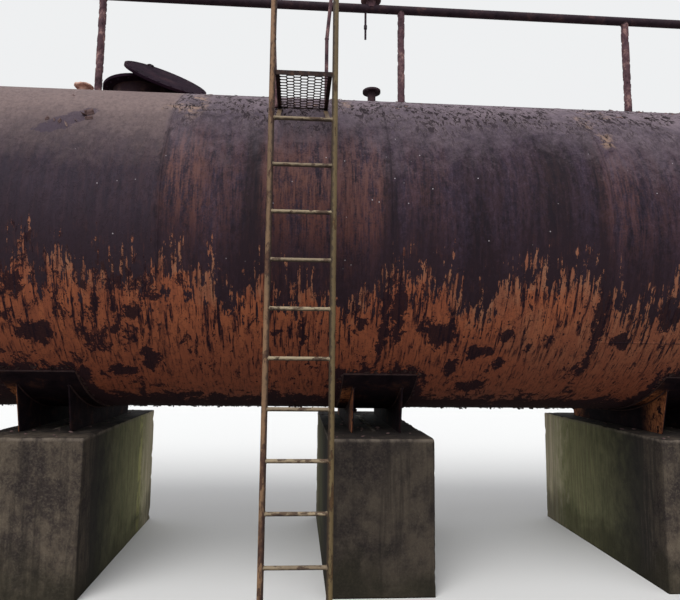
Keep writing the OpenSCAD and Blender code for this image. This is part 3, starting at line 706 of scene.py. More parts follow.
def concreteMaterial():
    # Sooty concrete in clouds, with its own colours on the long faces, pale to the rear as painted light, the top,
    # darkened as painted shadow, the upper edges and the foot
    v, tone = concreteValues, concreteTones
    material, w, place = newMaterial("pier_concrete")
    x, y, z = w.split(place)
    normal = w.split(w.put("NewGeometry", {}, "Normal"))
    longFace = w.ramp(w.calc("ABSOLUTE", normal[0]), 0.45, 0.75)
    topFace = w.ramp(normal[2], 0.45, 0.75)
    n = w.noises(place, concreteNoises)
    mixed = w.plus(w.times(n.clouds, 0.55), w.times(n.mottle, 0.45))
    colour = w.mix(w.ramp(mixed, 0.39, 0.6), tone["dark"], tone["light"])
    colour = w.mix(w.ramp(n.fine, 0.42, 0.72, 0.0, 0.3), colour, tone["grit"])
    colour = w.mix(w.ramp(n.runs, 0.5, 0.66, 0.0, 0.5), colour, tone["run"])
    colour = w.mix(longFace, colour, longFaceColour(w, n, tone, colour, x, y))
    colour = w.mix(w.ramp(w.calc("ABSOLUTE", x), *v["damp"], 0.5, 0.0), colour, tone["run"])
    # painted shadow: the tops darken towards the rear, under the tank
    colour = w.tint(colour, tone["top"], topFace, w.ramp(n.mottle, 0.4, 0.62, 1.0, 0.6),
                    w.ramp(y, -0.86, -0.6, 0.3, 0.95))
    pierTop = pierBoxes[2][1].z
    colour = w.tint(colour, tone["edge"], w.ramp(z, pierTop - 0.035, pierTop - 0.012),
                    w.ramp(n.mottle, 0.36, 0.6, 0.1, 0.6), w.minus(1.0, topFace))
    colour = w.tint(colour, tone["foot"], w.ramp(w.plus(z, w.swing(n.clouds, 0.15)), 0.35, 0.0), 0.6)
    pores = w.ramp(w.cells(place, v["pores"]), 0.2, 0.1)
    colour = w.tint(colour, tone["run"], pores, 0.35)
    height = w.total((n.clouds, v["cloudHigh"]), (n.fine, v["fineHigh"]), (n.mottle, v["mottleHigh"]),
                     (pores, -v["poreDeep"]))
    finishMaterial(w, colour, v["rough"], height, v["specular"])
    return material


# the saddle's near-black tones also stand for painted shade under the tank
saddleTones = {"dark": linear(15, 11, 16), "middle": linear(29, 21, 26), "light": linear(62, 40, 35),
               "paint": linear(160, 102, 66), "dirt": linear(96, 56, 40)}
saddleLook = {"scale": 9.0, "contrast": 0.8, "paintScale": 22.0, "wear": 0.36, "paintedBelow": (1.42, 1.34)}


def saddleMaterial():
    # Nearly black, partly as painted shade under the tank, with orange paint left on the faces that look to -X, near
    # their front edge
    v, tone = saddleLook, saddleTones
    material, w, place = newMaterial("saddle_steel")
    x, y, z = w.split(place)
    rust = useGroup(w, rustMottle, Vector=place, Scale=v["scale"], Dark=tone["dark"], Middle=tone["middle"],
                    Light=tone["light"], Contrast=v["contrast"])
    worn = useGroup(w, wornPaint, Vector=w.stretch(place, (1, 1, 0.5)), Scale=v["paintScale"], Wear=v["wear"])
    webHalf = webBoxes[2][1].x
    mask = w.times(w.ramp(wrapped(w, x), 0.006 - webHalf, 0.002 - webHalf), w.ramp(w.calc("ABSOLUTE", y), 0.4, 0.6),
                   w.ramp(z, *v["paintedBelow"]), worn["Paint"])
    clean = w.ramp(w.noise(w.stretch(place, (1, 1, 0.6)), 40.0, 5.0, 0.7), 0.38, 0.62)
    colour = w.mix(mask, rust["Color"], w.mix(clean, tone["dirt"], tone["paint"]))
    finishMaterial(w, colour, w.mix(mask, rust["Roughness"], grey(0.6)),
                   w.plus(rust["Height"], w.times(mask, 0.0005)), 0.05)
    return material


# Rusty finishes: three tones, the scale, and what differs; then painted ones: five tones, scale, wear and more
rustLooks = {
    "rusty": ("rusty_steel", ((34, 24, 32), (56, 39, 46), (96, 70, 66)), 8.0),
    # the lid's tones are darkened partly as painted shadow on its upper face
    "lid": ("lid_rust", ((18, 9, 17), (36, 22, 34), (62, 42, 48)), 7.0, 1.0, (1, 1, 1), 0.03),
    "pipe": ("pipe_steel", ((42, 29, 37), (90, 64, 70), (164, 128, 122)), 14.0, 0.8, (1, 1, 0.6)),
    "darkPipe": ("pipe_steel_dark", ((26, 18, 26), (50, 36, 44), (88, 62, 62)), 12.0),
    "mesh": ("mesh_steel", ((28, 20, 21), (50, 37, 36), (98, 73, 60)), 20.0),
    "crust": ("old_flange", ((150, 104, 94), (212, 168, 150), (240, 212, 196)), 22.0),
    "flake": ("flake_rust", ((58, 42, 46), (108, 86, 84), (176, 150, 138)), 9.0, 1.1),
    "weld": ("weld_rust", ((30, 23, 28), (58, 42, 42), (100, 70, 58)), 12.0),
}
# the last vector of a row points away from the side that gets painted shade
paintLooks = {
    "railLeft": ("ladder_paint_left", ((148, 113, 84), (116, 96, 74), (46, 33, 34), (90, 64, 50), (132, 102, 78)),
                 22.0, 0.42, (1, 1, 0.3), (-1, 0, 0)),
    "railRight": ("ladder_paint_right", ((122, 105, 72), (104, 88, 62), (48, 37, 34), (88, 66, 44), (130, 106, 70)),
                  22.0, 0.34, (1, 1, 0.3), (1, 0, 0)),
    "rung": ("rung_steel", ((168, 150, 122), (134, 118, 96), (48, 38, 36), (92, 74, 60), (140, 122, 98)),
             20.0, 0.4, (0.5, 1, 1), (0, 0, 1)),
    "brace": ("brace_paint", ((122, 99, 72), (98, 78, 58), (50, 37, 34), (96, 70, 54), (150, 118, 90)),
              12.0, 0.3, (1, 1, 1)),
}
materials = {
    "shell": shellMaterial("shell_paint_courses", 0.75), "seamWeld": shellMaterial("shell_paint_welds", 0.6),
    "lengthWeld": shellMaterial("shell_paint_length_welds", 0.8, 0.6), "head": headMaterial(),
    "saddle": saddleMaterial(), "concrete": concreteMaterial(),
}
materials.update({key: rustMaterial(*look) for key, look in rustLooks.items()})
materials.update({key: paintMaterial(*look) for key, look in paintLooks.items()})
# Which finish each slot takes, and the nodes that have one of their own
slotLooks = {"shell_paint": "shell", "saddle_steel": "saddle", "pier_concrete": "concrete", "rusty_steel": "rusty",
             "pipe_steel": "pipe", "ladder_paint": "brace", "rung_steel": "rung", "mesh_steel": "mesh",
             "old_flange": "crust"}
ownLooks = {"head_left": "head", "head_right": "head", "ladder_rail_left": "railLeft",
            "ladder_rail_right": "railRight", "manway_lid": "lid", "manway_flange": "lid", "overhead_pipe": "darkPipe",
            "pipe_end_caps": "darkPipe", "pipe_drain": "darkPipe"}
for part in frame["record"]["subparts"]:
    nodeMaterials = nodes[part["node"]].data.materials
    nodeMaterials.clear()
    nodeMaterials.append(materials[ownLooks.get(part["node"], slotLooks[part["material_slot"]])])
print("materials made:", len(materials))


# Welds: beads carried along the seams

weldValues = {"wide": 0.014, "high": 0.002, "wander": 0.12, "girthRows": 640, "lengthStep": 0.012, "fillet": 0.008,
              "filletStep": 0.014, "webShare": 0.8, "plateThick": 0.012, "webThick": 0.012, "proud": 0.002,
              "neck": 0.009, "flange": 0.007, "small": 0.005, "stem": 0.0365, "rung": 0.0032, "rungPitch": 0.3}
# Where each course's lengthwise seam lies, in degrees up from the front
longSeams = (-42, 140, 216, 144, 214, -35.6, 142, -40)
alongTank = np.array([1.0, 0.0, 0.0])


def carry(path, side, normal, section):
    # Each row is the section's points laid out from the path's point along its side and normal directions
    return path[..., None, :] + section[..., :1] * side[..., None, :] + section[..., 1:] * normal[..., None, :]


def bead(path, side, normal, seed, closed=True):
    # A weld bead: a low arch over the path, its foot sunk in the plate, its height and place uneven with noise
    wide, high, wander = weldValues["wide"], weldValues["high"], weldValues["wander"]
    turn = np.linspace(math.pi, 0, 6)
    foot = np.array([[wide * 0.4, -high * 1.5], [-wide * 0.4, -high * 1.5]])
    outline = np.concatenate([stack(np.cos(turn) * wide / 2, np.sin(turn) * high), foot])
    section = np.broadcast_to(outline, (*path.shape[:-1], 8, 2)).copy()
    section[..., 1:5, 1] *= 1 + 0.4 * roughness(path, max(wide, 0.012), seed, 2)[..., None]
    section[..., 0] *= 1 + wander * roughness(path, wide * 1.6, seed + 3, 2)[..., None]
    section[..., 0] += wander * wide * roughness(path, 0.15, seed + 5, 1)[..., None]
    return surface(carry(path, side, normal, section), wrapRows=closed, caps=not closed)


def onShell(x, angle, radius):
    # A point of the shell at an angle up from the front, with its outward direction
    x, angle = np.broadcast_arrays(np.asarray(x, float), angle)
    outward = stack(0.0, -np.cos(angle), np.sin(angle))
    return stack(x, 0.0, axisZ) + radius * outward, outward


def girthWelds():
    # A closed bead along the circle x = seam, at the shell's radius
    found = []
    for k, seamX in enumerate(seams):
        path, outward = onShell(seamX, circle(weldValues["girthRows"]), shellRadius)
        found.append(bead(path, np.broadcast_to(alongTank, path.shape), outward, 20 + k))
    makePiece("girth_welds", found, materials["seamWeld"])


def lengthWelds():
    # An open bead along the straight line at one angle of each course, from girth weld to girth weld
    found = []
    for k, ((low, high), degrees) in enumerate(zip(courseBoxes, longSeams)):
        path, outward = onShell(np.arange(low.x, high.x, weldValues["lengthStep"]), math.radians(degrees), shellRadius)
        found.append(bead(path, np.cross(outward, alongTank), outward, 40 + k, closed=False))
    makePiece("length_welds", found, materials["lengthWeld"])


def filletTube(path, radius, seed, closed=False):
    # A round bead: circles about the path, square to it, whose radius is uneven with noise
    if closed:
        ahead = np.roll(path, -1, 0) - np.roll(path, 1, 0)
    else:
        ahead = np.gradient(path, axis=0)
    ahead /= np.linalg.norm(ahead, axis=-1, keepdims=True)
    guide = np.array([0.31, 0.27, 0.91]) if abs(ahead[0, 2]) < 0.8 else np.array([0.9, 0.3, 0.2])
    side = np.cross(ahead, guide)
    side /= np.linalg.norm(side, axis=-1, keepdims=True)
    uneven = radius * (1 + 0.25 * roughness(path, radius * 2.5, seed, 2))
    section = stack(np.cos(circle(7)), np.sin(circle(7))) * uneven[:, None, None]
    return surface(carry(path, side, np.cross(side, ahead), section), wrapRows=closed, caps=not closed)


def saddleWelds():
    # Round each rolled plate where it meets the shell, and along both faces of each web where it meets the plate
    v, found, bottom = weldValues, [], -math.pi / 2
    size, step, proud = v["fillet"], v["filletStep"], v["proud"]
    for i, (middle, plate, web) in enumerate(zip(saddleX, plateBoxes, webBoxes), 1):
        half = middleHalf(plate[0].x, plate[1].x)[1]
        spread = math.asin(plate[1].y / (shellRadius + v["plateThick"]))
        arc = np.arange(-spread, spread, step / shellRadius)
        line = np.arange(-half, half, step)
        x = np.concatenate([np.full(len(arc), half), line[::-1], np.full(len(arc), -half), line]) + middle
        angle = bottom + np.concatenate([arc, np.full(len(line), spread), arc[::-1], np.full(len(line), -spread)])
        found.append(filletTube(onShell(x, angle, shellRadius + proud)[0], size, 60 + i, closed=True))
        plateRadius = axisZ - plate[0].z
        spread = math.asin(web[1].y / plateRadius)
        arc = bottom + np.arange(-spread, spread, step / plateRadius)
        for face in (web[0].x, web[0].x + v["webThick"], web[1].x - v["webThick"], web[1].x):
            found.append(filletTube(onShell(face, arc, plateRadius + proud)[0], size * v["webShare"], 70 + i))
    makePiece("saddle_welds", found, materials["weld"])


def collar(x, radius, bodyRadius, bodyZ, size, seed, under=False):
    # The curve where an upright round bar meets a lying one: z = body +- sqrt(bodyRadius^2 - (radius sin t)^2)
    turn = circle(max(24, int(radius * 420)))
    rise = np.sqrt(bodyRadius ** 2 - (radius * np.sin(turn)) ** 2) * (-1 if under else 1)
    return filletTube(stack(x + radius * np.cos(turn), radius * np.sin(turn), bodyZ + rise), size, seed, closed=True)


def crownWelds():
    # Collars where the neck, the nozzles and the posts meet shell and pipe, and a level circle under the flange
    v, turn = weldValues, circle(120)
    low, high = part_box("manway_neck")
    x, radius = middleHalf(low.x, high.x)[0], middleHalf(low.y, high.y)[1]
    ring = stack(x + radius * np.cos(turn), radius * np.sin(turn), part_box("manway_flange")[0].z)
    found = [collar(x, radius, shellRadius, axisZ, v["neck"], 90), filletTube(ring, v["flange"], 91, closed=True)]
    for name in ("nozzle", "old_nozzle"):
        low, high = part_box(name)
        found.append(collar(middleHalf(low.x, high.x)[0], v["stem"], shellRadius, axisZ, v["small"], 92))
    for k, (low, high) in enumerate(postBoxes):
        x, radius = middleHalf(low.x, high.x)
        found.append(collar(x, radius + 0.001, shellRadius, axisZ, v["small"] * 1.2, 94 + k))
        found.append(collar(x, radius, pipeRadius, pipeZ, v["small"] * 1.1, 104 + k, under=True))
    makePiece("crown_welds", found, materials["weld"])


def ladderWelds():
    # Each rung's end: z and y go round the rung, and x follows the rail's round side
    (rungLow, rungHigh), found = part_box("ladder_rungs"), []
    rails = [middleHalf(low.x, high.x) for low, high in map(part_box, ("ladder_rail_left", "ladder_rail_right"))]
    (rungY, rungRadius), railRadius = middleHalf(rungLow.y, rungHigh.y), rails[0][1]
    first, last = rungLow.z + rungRadius, rungHigh.z - rungRadius
    turn = circle(20)
    bulge = np.sqrt(railRadius ** 2 - (rungRadius * np.sin(turn)) ** 2)
    for k, z in enumerate(np.linspace(first, last, round((last - first) / weldValues["rungPitch"]) + 1)):
        for (railX, _), way in zip(rails, (1, -1)):
            path = stack(railX + way * bulge, rungY + rungRadius * np.sin(turn), z + rungRadius * np.cos(turn))
            found.append(filletTube(path, weldValues["rung"], 120 + 2 * k + (way > 0), closed=True))
    makePiece("ladder_welds", found, materials["rung"])


# Lumps and flakes

def lumps(centres, reach, seed, unevenness=0.35, rings=6, around=8):
    # Each lump is a ball squeezed to its reach: r = 1 + noise, on a grid of latitude and longitude
    lat, lon = np.linspace(0.12, math.pi - 0.12, rings)[:, None], circle(around)[None]
    ball = stack(np.sin(lat) * np.cos(lon), np.sin(lat) * np.sin(lon), np.cos(lat))
    shift = np.arange(len(centres))[:, None, None, None] * 3.7
    size = 1 + unevenness * roughness(ball[None] + shift, 0.9, seed, 2)
    return surface(centres[:, None, None] + ball[None] * size[..., None] * reach[:, None, None])


def flakes(x, degrees, length, width, lift, heading, seed, thick=0.0012):
    # A flake is a thin leaf, half its width sqrt(1 - 0.8 u^2) along its length u, that curls up as ((v + 1) / 2)^2
    # from one edge to the other; the leaf is laid on the shell at its place and turned by its heading
    x, angle, length, width, lift, turn = (each[:, None, None] for each in
                                           (x, np.radians(degrees), length, width, lift, heading))
    u = np.linspace(-1, 1, 4)[None, :, None]
    v = np.concatenate([np.linspace(-1, 1, 4), np.linspace(1, -1, 4)])[None, None, :]
    top = np.repeat([1.0, 0.0], 4)[None, None, :]
    wave = latticeNoise(stack(u * 1.4 + np.arange(len(x))[:, None, None] * 5.1, v * 1.4, 0.0), 1.0, seed)
    long = u * length / 2
    wide = v * np.sqrt(1 - 0.8 * u * u) * (1 + 0.3 * wave) * width / 2
    high = lift * ((v + 1) / 2) ** 2 * (1 + 0.5 * wave) + thick * top + 0.0004
    bent = angle + (long * np.sin(turn) + wide * np.cos(turn)) / shellRadius
    points = (shellRadius + high)[..., None] * stack(0.0, -np.cos(bent), np.sin(bent))
    points[..., 0] += x + long * np.cos(turn) - wide * np.sin(turn)
    points[..., 2] += axisZ
    return surface(points)


def drawLeaves(draw, v):
    # Rows of length, width, lift and heading: length and width grow together, and most leaves are small
    def between(key, share):
        return v[key][0] + share * (v[key][1] - v[key][0])

    grown = draw.uniform(0, 1, v["count"]) ** 2
    lift = between("lift", draw.uniform(0, 1, v["count"]) ** 2)
    heading = draw.uniform(0, 2 * math.pi, v["count"])
    return np.array([between("length", grown), between("width", grown), lift, heading])


flakeValues = {"count": 3400, "fewLeft": 0.05, "smoothTo": -1.45, "low": 48, "high": 132, "length": (0.014, 0.05),
               "width": (0.01, 0.03), "lift": (0.001, 0.009), "seed": 7, "clump": 0.22, "clumpFrom": 0.1,
               "patchThick": 0.002}
# Bigger curled flakes of the bare patch on the left: along the tank, degrees up, length, width, lift, heading
patchFlakes = [(-2.05, 35.0, 0.06, 0.022, 0.026, 0.4), (-2.08, 34.2, 0.05, 0.016, 0.02, 2.6),
               (-2.04, 32.5, 0.05, 0.014, 0.016, 0.2), (-2.22, 30.6, 0.035, 0.012, 0.016, 1.3),
               (-2.17, 29.2, 0.045, 0.014, 0.02, 1.9), (-2.31, 31.6, 0.03, 0.012, 0.012, 0.8),
               (-2.12, 31.4, 0.03, 0.01, 0.012, 2.2), (-2.26, 31.2, 0.03, 0.012, 0.008, 1.7)]


def crownFlakes():
    # Places spread about the crown with a bell curve, kept where a noise is high, with few of them on the left
    v = flakeValues
    draw = np.random.default_rng(v["seed"])
    x = draw.uniform(seams[0], seams[-1], v["count"])
    thin = draw.uniform(0, 1, v["count"])
    middle, half = middleHalf(v["low"], v["high"])
    degrees = middle + draw.normal(0, 0.5, v["count"]).clip(-1, 1) * half
    clump = roughness(stack(x, np.radians(degrees) * shellRadius, 0.0), v["clump"], 5, 3)
    keep = (thin < v["fewLeft"]) | ((x > v["smoothTo"]) & (clump > v["clumpFrom"]))
    own = flakes(x[keep], degrees[keep], *drawLeaves(draw, v)[:, keep], 3)
    patch = flakes(*np.array(patchFlakes).T, 9, thick=v["patchThick"])
    makePiece("crown_flakes", [own, patch], materials["flake"])


scaleValues = {"count": 1500, "middle": -90.0, "spread": 9.0, "length": (0.01, 0.045), "width": (0.008, 0.024),
               "lift": (0.002, 0.012), "round": 130, "seed": 17, "alongEnds": 0.4, "edgeGap": (0.004, 0.03),
               "endGap": (0.4, 1.6), "plateLift": 0.7, "headings": (0, 6.28)}


def undersideScale():
    # Loose scale that hangs from the lowest part of the shell, and more of it round the saddles' plates
    v, plate = scaleValues, plateBoxes[0]
    draw = np.random.default_rng(v["seed"])
    x = draw.uniform(seams[0], seams[-1], v["count"])
    degrees = v["middle"] + draw.normal(0, 1, v["count"]).clip(-2, 2) * v["spread"]
    leaves = drawLeaves(draw, v)
    plateHalf = middleHalf(plate[0].x, plate[1].x)[1]
    clear = np.min(np.abs(x[:, None] - np.array(saddleX)), axis=1) > plateHalf + v["length"][1] / 2
    found = [flakes(x[clear], degrees[clear], *leaves[:, clear], 13)]
    reach, count = math.degrees(math.asin(plate[1].y / shellRadius)), v["round"]
    for middle in saddleX:
        share = draw.uniform(-1, 1, count)
        across = draw.uniform(0, 1, count) < v["alongEnds"]
        edge = np.where(share < 0, -1, 1) * (plateHalf + draw.uniform(*v["edgeGap"], count))
        x = middle + np.where(across, share * plateHalf, edge)
        above = np.where(draw.uniform(0, 1, count) < 0.5, -1, 1) * (reach + draw.uniform(*v["endGap"], count))
        degrees = v["middle"] + np.where(across, above, draw.uniform(-reach, reach, count))
        length, width = draw.uniform(*v["length"], count), draw.uniform(*v["width"], count)
        lift = draw.uniform(v["lift"][0], v["lift"][1] * v["plateLift"], count)
        found.append(flakes(x, degrees, length, width, lift, draw.uniform(*v["headings"], count), 14))
    makePiece("underside_scale", found, materials["weld"])


# Pieces that stand for plain CAD ones

postValues = {"columns": 32, "step": 0.006, "flake": 0.0046, "flakeCell": 0.022, "sharp": 24, "pit": 0.004,
              "pitCell": 0.012, "pitFrom": 0.5, "stretch": 0.55, "sunk": 0.001}


def roughPosts():
    # A tube's outer face: radius = post + steps of scale where a noise is high - pits where another is low;
    # its foot follows the shell and its top the pipe
    v, turn = postValues, circle(postValues["columns"])
    for i, (low, high) in enumerate(postBoxes, 1):
        x, radius = middleHalf(low.x, high.x)
        across = (radius * np.sin(turn)) ** 2
        foot = axisZ + np.sqrt(shellRadius ** 2 - across) - v["sunk"]
        top = pipeZ - np.sqrt(pipeRadius ** 2 - across) + v["sunk"]
        z = foot + np.linspace(0, 1, round((high.z - low.z) / v["step"]))[:, None] * (top - foot)
        around = stack(np.cos(turn) * radius, np.sin(turn) * radius, z * v["stretch"])
        step = 1 / (1 + np.exp(-roughness(around, v["flakeCell"], 200 + i, 3) * v["sharp"]))
        pits = np.clip(-roughness(around, v["pitCell"], 230 + i, 2) - v["pitFrom"], 0, 1)
        r = radius - v["sunk"] + v["flake"] * step - v["pit"] * pits
        points = stack(x + r * np.cos(turn), r * np.sin(turn), z)
        makePiece(f"rough_post_{i}", [surface(points)], materials["pipe"],
                  replaces=[f"pipe_post_{i}"])


pierValues = {"corner": 0.012, "chip": 0.02, "chipCell": 0.07, "chipFrom": 0.15, "uneven": 0.003,
              "unevenCell": 0.25, "step": 0.03, "topRings": 14, "edge": 0.03, "face": 0.02}


def blockOutline(halfX, halfY, corner, step):
    # A rectangle with round corners, as points about a step apart
    arcs = []
    for signX, signY, start in ((1, 1, 0), (-1, 1, 90), (-1, -1, 180), (1, -1, 270)):
        turn = np.radians(start + np.linspace(0, 90, 4))
        middle = np.array([signX * (halfX - corner), signY * (halfY - corner)])
        arcs.append(middle + corner * stack(np.cos(turn), np.sin(turn)))
    outline = []
    for k, arc in enumerate(arcs):
        following = arcs[(k + 1) % 4][0]
        count = max(2, round(np.linalg.norm(following - arc[-1]) / step))
        share = np.linspace(0, 1, count + 1)[1:-1, None]
        outline += [arc, arc[-1] + share * (following - arc[-1])]
    return np.concatenate(outline)


def roughPiers():
    # Rows run from the middle of the foot, up the sides and in over the top; noise only takes material away,
    # most of it along the edges
    v, corner = pierValues, pierValues["corner"]
    for i, (low, high) in enumerate(pierBoxes, 1):
        middle, half = middleHalf(low, high)
        tall = high.z - low.z
        heights = np.arange(corner, tall - corner, v["step"])
        turn = np.linspace(0, math.pi / 2, 4)[1:]
        topInset, topZ = corner * (1 - np.cos(turn)), tall - corner + corner * np.sin(turn)
        inward = np.linspace(0, 1, v["topRings"])[1:] ** 1.5 * (half.x - 0.01)
        inset = np.concatenate([[half.x - 0.02, 0.1, 0.0], 0 * heights, topInset, topInset[-1] + inward])
        z = np.concatenate([[0, 0, 0], heights, topZ, np.full(len(inward), tall)])[:, None]
        shrink = np.clip(1 - inset[:, None, None] / np.array([half.x, half.y]), 0.005, 1)
        flat = blockOutline(half.x, half.y, corner, v["step"])[None] * shrink
        points = stack(flat[..., 0], flat[..., 1], z) + np.array([middle.x, middle.y, low.z])
        fromEdge = stack(half.x - abs(points[..., 0] - middle.x), half.y - abs(points[..., 1] - middle.y),
                         high.z - points[..., 2])
        nearest = np.sort(fromEdge, -1)
        chips = np.clip(roughness(points, v["chipCell"], 300 + i, 3) - v["chipFrom"], 0, 1) * v["chip"]
        chips *= np.exp(-nearest[..., 1] / v["edge"])
        uneven = (roughness(points, v["unevenCell"], 310 + i, 4) + 1.6) * 0.3 * v["uneven"]
        sign = stack(np.sign(points[..., 0] - middle.x), np.sign(points[..., 1] - middle.y), 1.0)
        off = chips + uneven * np.exp(-nearest[..., 0] / v["face"])
        points -= np.exp(-fromEdge / v["face"]) * sign * off[..., None]
        points[..., 2] = np.clip(points[..., 2], low.z, high.z)
        makePiece(f"rough_pier_{i}", [surface(points)], materials["concrete"],
                  replaces=[f"pier_{i}"])


nozzleValues = {"stem": 0.0365, "bore": 0.026, "plate": 0.022, "columns": 56, "rows": 90, "rim": 0.002,
                "uneven": 0.008, "cell": 0.03, "seed": 400}


def crustedNozzle():
    # A profile of (radius, height) points turned about an upright axis; noise moves each point in or out
    v, (low, high) = nozzleValues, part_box("old_nozzle")
    stem, bore, plate = v["stem"], v["bore"], v["plate"]
    (x, half), tall = middleHalf(low.x, high.x), high.z - crownZ
    rim = half - v["rim"]
    corners = np.array([(stem, -0.004), (stem, 0.02), (stem, 0.1), (stem, tall - plate - 0.02),
                        (stem + 0.012, tall - plate), (rim - 0.008, tall - plate), (rim, tall - plate * 0.75),
                        (rim, tall - plate * 0.3), (rim - 0.006, tall - 0.001), (bore + 0.01, tall),
                        (bore, tall - 0.006), (bore, tall - 0.06), (0.004, tall - 0.062)])
    reach = np.concatenate([[0], np.cumsum(np.linalg.norm(np.diff(corners, axis=0), axis=1))])
    fine = np.linspace(0, reach[-1], v["rows"])
    radius, height = (np.interp(fine, reach, corners[:, k])[:, None] for k in (0, 1))
    turn = circle(v["columns"])
    points = stack(radius * np.cos(turn), radius * np.sin(turn), height)
    crust = v["uneven"] * roughness(points, v["cell"], v["seed"], 3)
    points *= 1 + (crust / np.maximum(np.linalg.norm(points, axis=-1), 0.03))[..., None]
    makePiece("crusted_nozzle", [surface(points + np.array([x, 0, crownZ]))], materials["crust"],
              replaces=["old_nozzle"])


studValues = {"behind": 0.11, "rod": 0.012, "tall": 0.075, "nut": 0.019, "nutLow": 0.012, "nutHigh": 0.034,
              "plate": 0.04, "plateThick": 0.008, "threads": 12, "sunk": 0.003}


def anchorStuds():
    # A plate, a nut and a threaded end, each a stack of outlines: r = flat / cos(angle to the nearest flat's middle)
    v, turn = studValues, circle(48)

    def sided(count, flat):
        part = 2 * math.pi / count
        return flat / np.cos((turn % part) - part / 2)

    rod, plate, nut = np.full(48, v["rod"]), sided(4, v["plate"]), sided(6, v["nut"])
    rows = [(plate, 0.0), (plate, v["plateThick"]), (rod * 1.5, v["plateThick"] + 0.001), (rod * 1.5, v["nutLow"]),
            (nut, v["nutLow"] + 0.001), (nut, v["nutHigh"]), (rod, v["nutHigh"] + 0.001)]
    for k in range(v["threads"]):
        z = v["nutHigh"] + 0.003 + k * (v["tall"] - v["nutHigh"] - 0.004) / v["threads"]
        rows.append((rod * (1.0 if k % 2 else 0.9), z))
    rows.append((rod * 0.8, v["tall"]))
    radius, z = np.stack([r for r, h in rows]), np.array([h for r, h in rows])[:, None]
    stud = stack(radius * np.cos(turn), radius * np.sin(turn), z)
    found = [surface(stud + np.array([x, high.y - v["behind"], high.z - v["sunk"]]))
             for x, (low, high) in zip(saddleX, pierBoxes)]
    makePiece("anchor_studs", found, materials["rusty"], smooth=False)


debrisValues = {"each": 34, "size": (0.004, 0.016), "shape": (0.6, 1.3), "flat": 0.45, "seed": 11,
                "edgeGap": 0.03, "sunk": 0.003}


def pierDebris():
    # Rust chips and grit that has fallen on the piers' tops
    v = debrisValues
    draw = np.random.default_rng(v["seed"])
    centres, reach, gap, count = [], [], v["edgeGap"], v["each"]
    for low, high in pierBoxes:
        size = draw.uniform(*v["size"], count)
        x = draw.uniform(low.x + gap, high.x - gap, count)
        y = draw.uniform(low.y + gap, high.y - gap, count)
        centres.append(stack(x, y, high.z - v["sunk"] + size * 0.25))
        reach.append(stack(size, size * draw.uniform(*v["shape"], count), size * v["flat"]))
    found = [lumps(np.concatenate(centres), np.concatenate(reach), 21)]
    makePiece("pier_debris", found, materials["flake"], smooth=False)


def crownLumps():
    # A small lump of scale left of the old nozzle, and knobs of weld at the top of the fourth post
    low, high = postBoxes[3]
    x, top = middleHalf(low.x, high.x)[0], high.z
    centres = np.array([[-2.7, -0.03, crownZ + 0.004], [x - 0.03, -0.012, top - 0.012],
                        [x + 0.03, -0.008, top - 0.016], [x + 0.006, -0.03, top - 0.02]])
    reach = np.array([[0.028, 0.022, 0.018], [0.008, 0.008, 0.007], [0.009, 0.008, 0.008], [0.009, 0.007, 0.008]])
    makePiece("crown_lumps", [lumps(centres, reach, 31, 0.3, 9, 14)], materials["pipe"])


lugValues = {"reach": 0.31, "uphill": 0.978, "across": 0.208, "half": 0.03, "tall": 0.014, "bar": 0.007,
             "sunk": 0.002, "rows": 24, "seed": 500}


def lidLug():
    # A small bent bar on the lid's upper face, near the highest part of its rim, with its feet on the face
    mesh, v = nodes["manway_lid"].data, lugValues
    points = np.empty(len(mesh.vertices) * 3)
    mesh.vertices.foreach_get("co", points)
    points = points.reshape(-1, 3)
    centre = middleHalf(points.min(0), points.max(0))[0]
    axes = np.linalg.svd(points - points.mean(0), full_matrices=False)[2]
    normal = axes[2] * np.sign(axes[2][2])
    across = np.cross(normal, [0.0, 0.0, 1.0])
    across /= np.linalg.norm(across)
    uphill = np.cross(across, normal)
    uphill *= np.sign(uphill[2])
    thick = np.abs((points - centre) @ normal).max()
    foot = centre + thick * normal + v["reach"] * (v["uphill"] * uphill + v["across"] * across)
    side = v["uphill"] * across - v["across"] * uphill
    turn = np.linspace(0, math.pi, v["rows"])[:, None]
    path = foot + v["half"] * np.cos(turn) * side + (v["tall"] * np.sin(turn) - v["sunk"]) * normal
    makePiece("lid_lug", [filletTube(path, v["bar"], v["seed"])], materials["lid"])


for make in (girthWelds, lengthWelds, saddleWelds, crownWelds, ladderWelds, crownFlakes, undersideScale, roughPosts,
             roughPiers, crustedNozzle, anchorStuds, pierDebris, crownLumps, lidLug):
    make()
print("new pieces made")


# Stage, light and camera

stageValues = {"floorHalf": 60.0, "floorSeen": (0.80, 0.79, 0.77, 1), "floorBounce": (0.28, 0.255, 0.23, 1),
               "skySeen": (0.86, 0.87, 0.88, 1), "skyLight": (0.93, 0.96, 1.0, 1), "skyStrength": 0.85,
               "sunStrength": 1.7, "sunTurn": (math.radians(32), math.radians(-20), 0), "sunSize": math.radians(40)}


def makeFloor():
    # Pale to the camera, darker to the light that it throws back
    v = stageValues
    half = v["floorHalf"]
    mesh = bpy.data.meshes.new("floor")
    mesh.from_pydata([(-half, -half, 0), (half, -half, 0), (half, half, 0), (-half, half, 0)], [], [(0, 1, 2, 3)])
    floor = bpy.data.objects.new("floor", mesh)
    bpy.context.scene.collection.objects.link(floor)
    material = bpy.data.materials.new("floor")
    material.use_nodes = True
    w, shader = Wiring(material.node_tree), material.node_tree.nodes["Principled BSDF"]
    seen = w.put("LightPath", {}, "Is Camera Ray")
    w.feed(shader.inputs["Base Color"], w.mix(seen, v["floorBounce"], v["floorSeen"]))
    w.feed(shader.inputs["Roughness"], 1.0)
    mesh.materials.append(material)


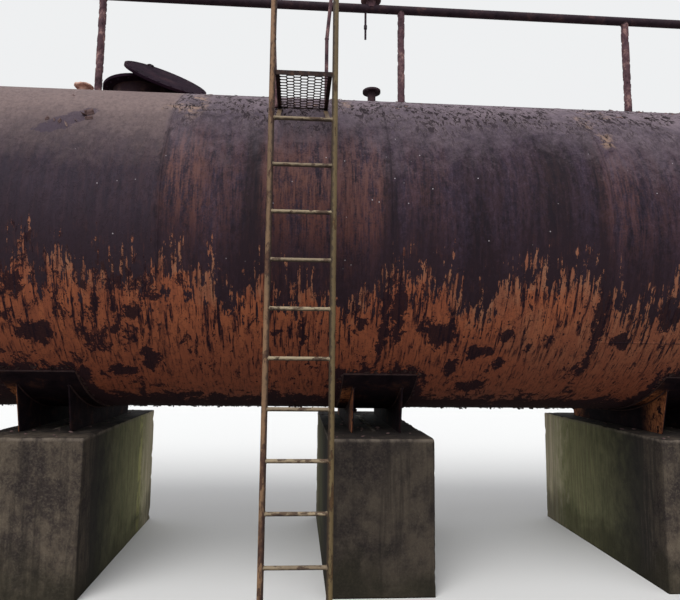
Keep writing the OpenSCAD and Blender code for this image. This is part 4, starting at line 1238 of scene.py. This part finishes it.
def makeLight():
    # A pale room, dimmer to the object than to the camera, and one broad soft lamp
    v = stageValues
    world = bpy.data.worlds.new("pale_room")
    world.use_nodes = True
    bpy.context.scene.world = world
    w = Wiring(world.node_tree)
    w.tree.nodes.clear()
    seen = w.most(*(w.put("LightPath", {}, f"Is {kind} Ray") for kind in ("Camera", "Glossy", "Transmission")))
    strength = w.ramp(seen, 0.0, 1.0, v["skyStrength"], 1.0)
    sky = w.put("Background", {"Color": w.mix(seen, v["skyLight"], v["skySeen"]), "Strength": strength})
    w.put("OutputWorld", {"Surface": sky})
    light = bpy.data.lights.new("soft_key", "SUN")
    light.energy, light.angle = v["sunStrength"], v["sunSize"]
    key = bpy.data.objects.new("soft_key", light)
    key.rotation_euler = v["sunTurn"]
    bpy.context.scene.collection.objects.link(key)


# The camera, solved from the straight edges of the tank: place in metres, angles in radians, picture in pixels
photo = {"place": (-0.613, -4.662, 1.635), "yaw": 0.0587, "pitch": 0.1027, "roll": 0.0124, "focal": 531.6,
         "middleX": 327.4, "width": 680, "sensor": 36.0}


def makeCamera():
    # It looks along (sin yaw cos pitch, cos yaw cos pitch, sin pitch) and is then rolled about that line
    yaw, pitch, roll = photo["yaw"], photo["pitch"], photo["roll"]
    ahead = Vector((math.sin(yaw) * math.cos(pitch), math.cos(yaw) * math.cos(pitch), math.sin(pitch)))
    side = Vector((math.cos(yaw), -math.sin(yaw), 0))
    up = side.cross(ahead)
    tiltedSide = side * math.cos(roll) + up * math.sin(roll)
    tiltedUp = up * math.cos(roll) - side * math.sin(roll)
    data = bpy.data.cameras.new("camera")
    data.sensor_fit, data.sensor_width = "HORIZONTAL", photo["sensor"]
    data.lens = photo["focal"] / photo["width"] * photo["sensor"]
    data.shift_x = (photo["width"] / 2 - photo["middleX"]) / photo["width"]
    camera = bpy.data.objects.new("camera", data)
    turn = Matrix((tiltedSide, tiltedUp, -ahead)).transposed().to_4x4()
    camera.matrix_world = Matrix.Translation(photo["place"]) @ turn
    bpy.context.scene.collection.objects.link(camera)
    bpy.context.scene.camera = camera


makeFloor()
makeLight()
makeCamera()
bpy.context.scene.view_settings.view_transform = "Standard"
print("stage and camera made")

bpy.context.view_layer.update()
print("triangles added:", triangleCount["added"])
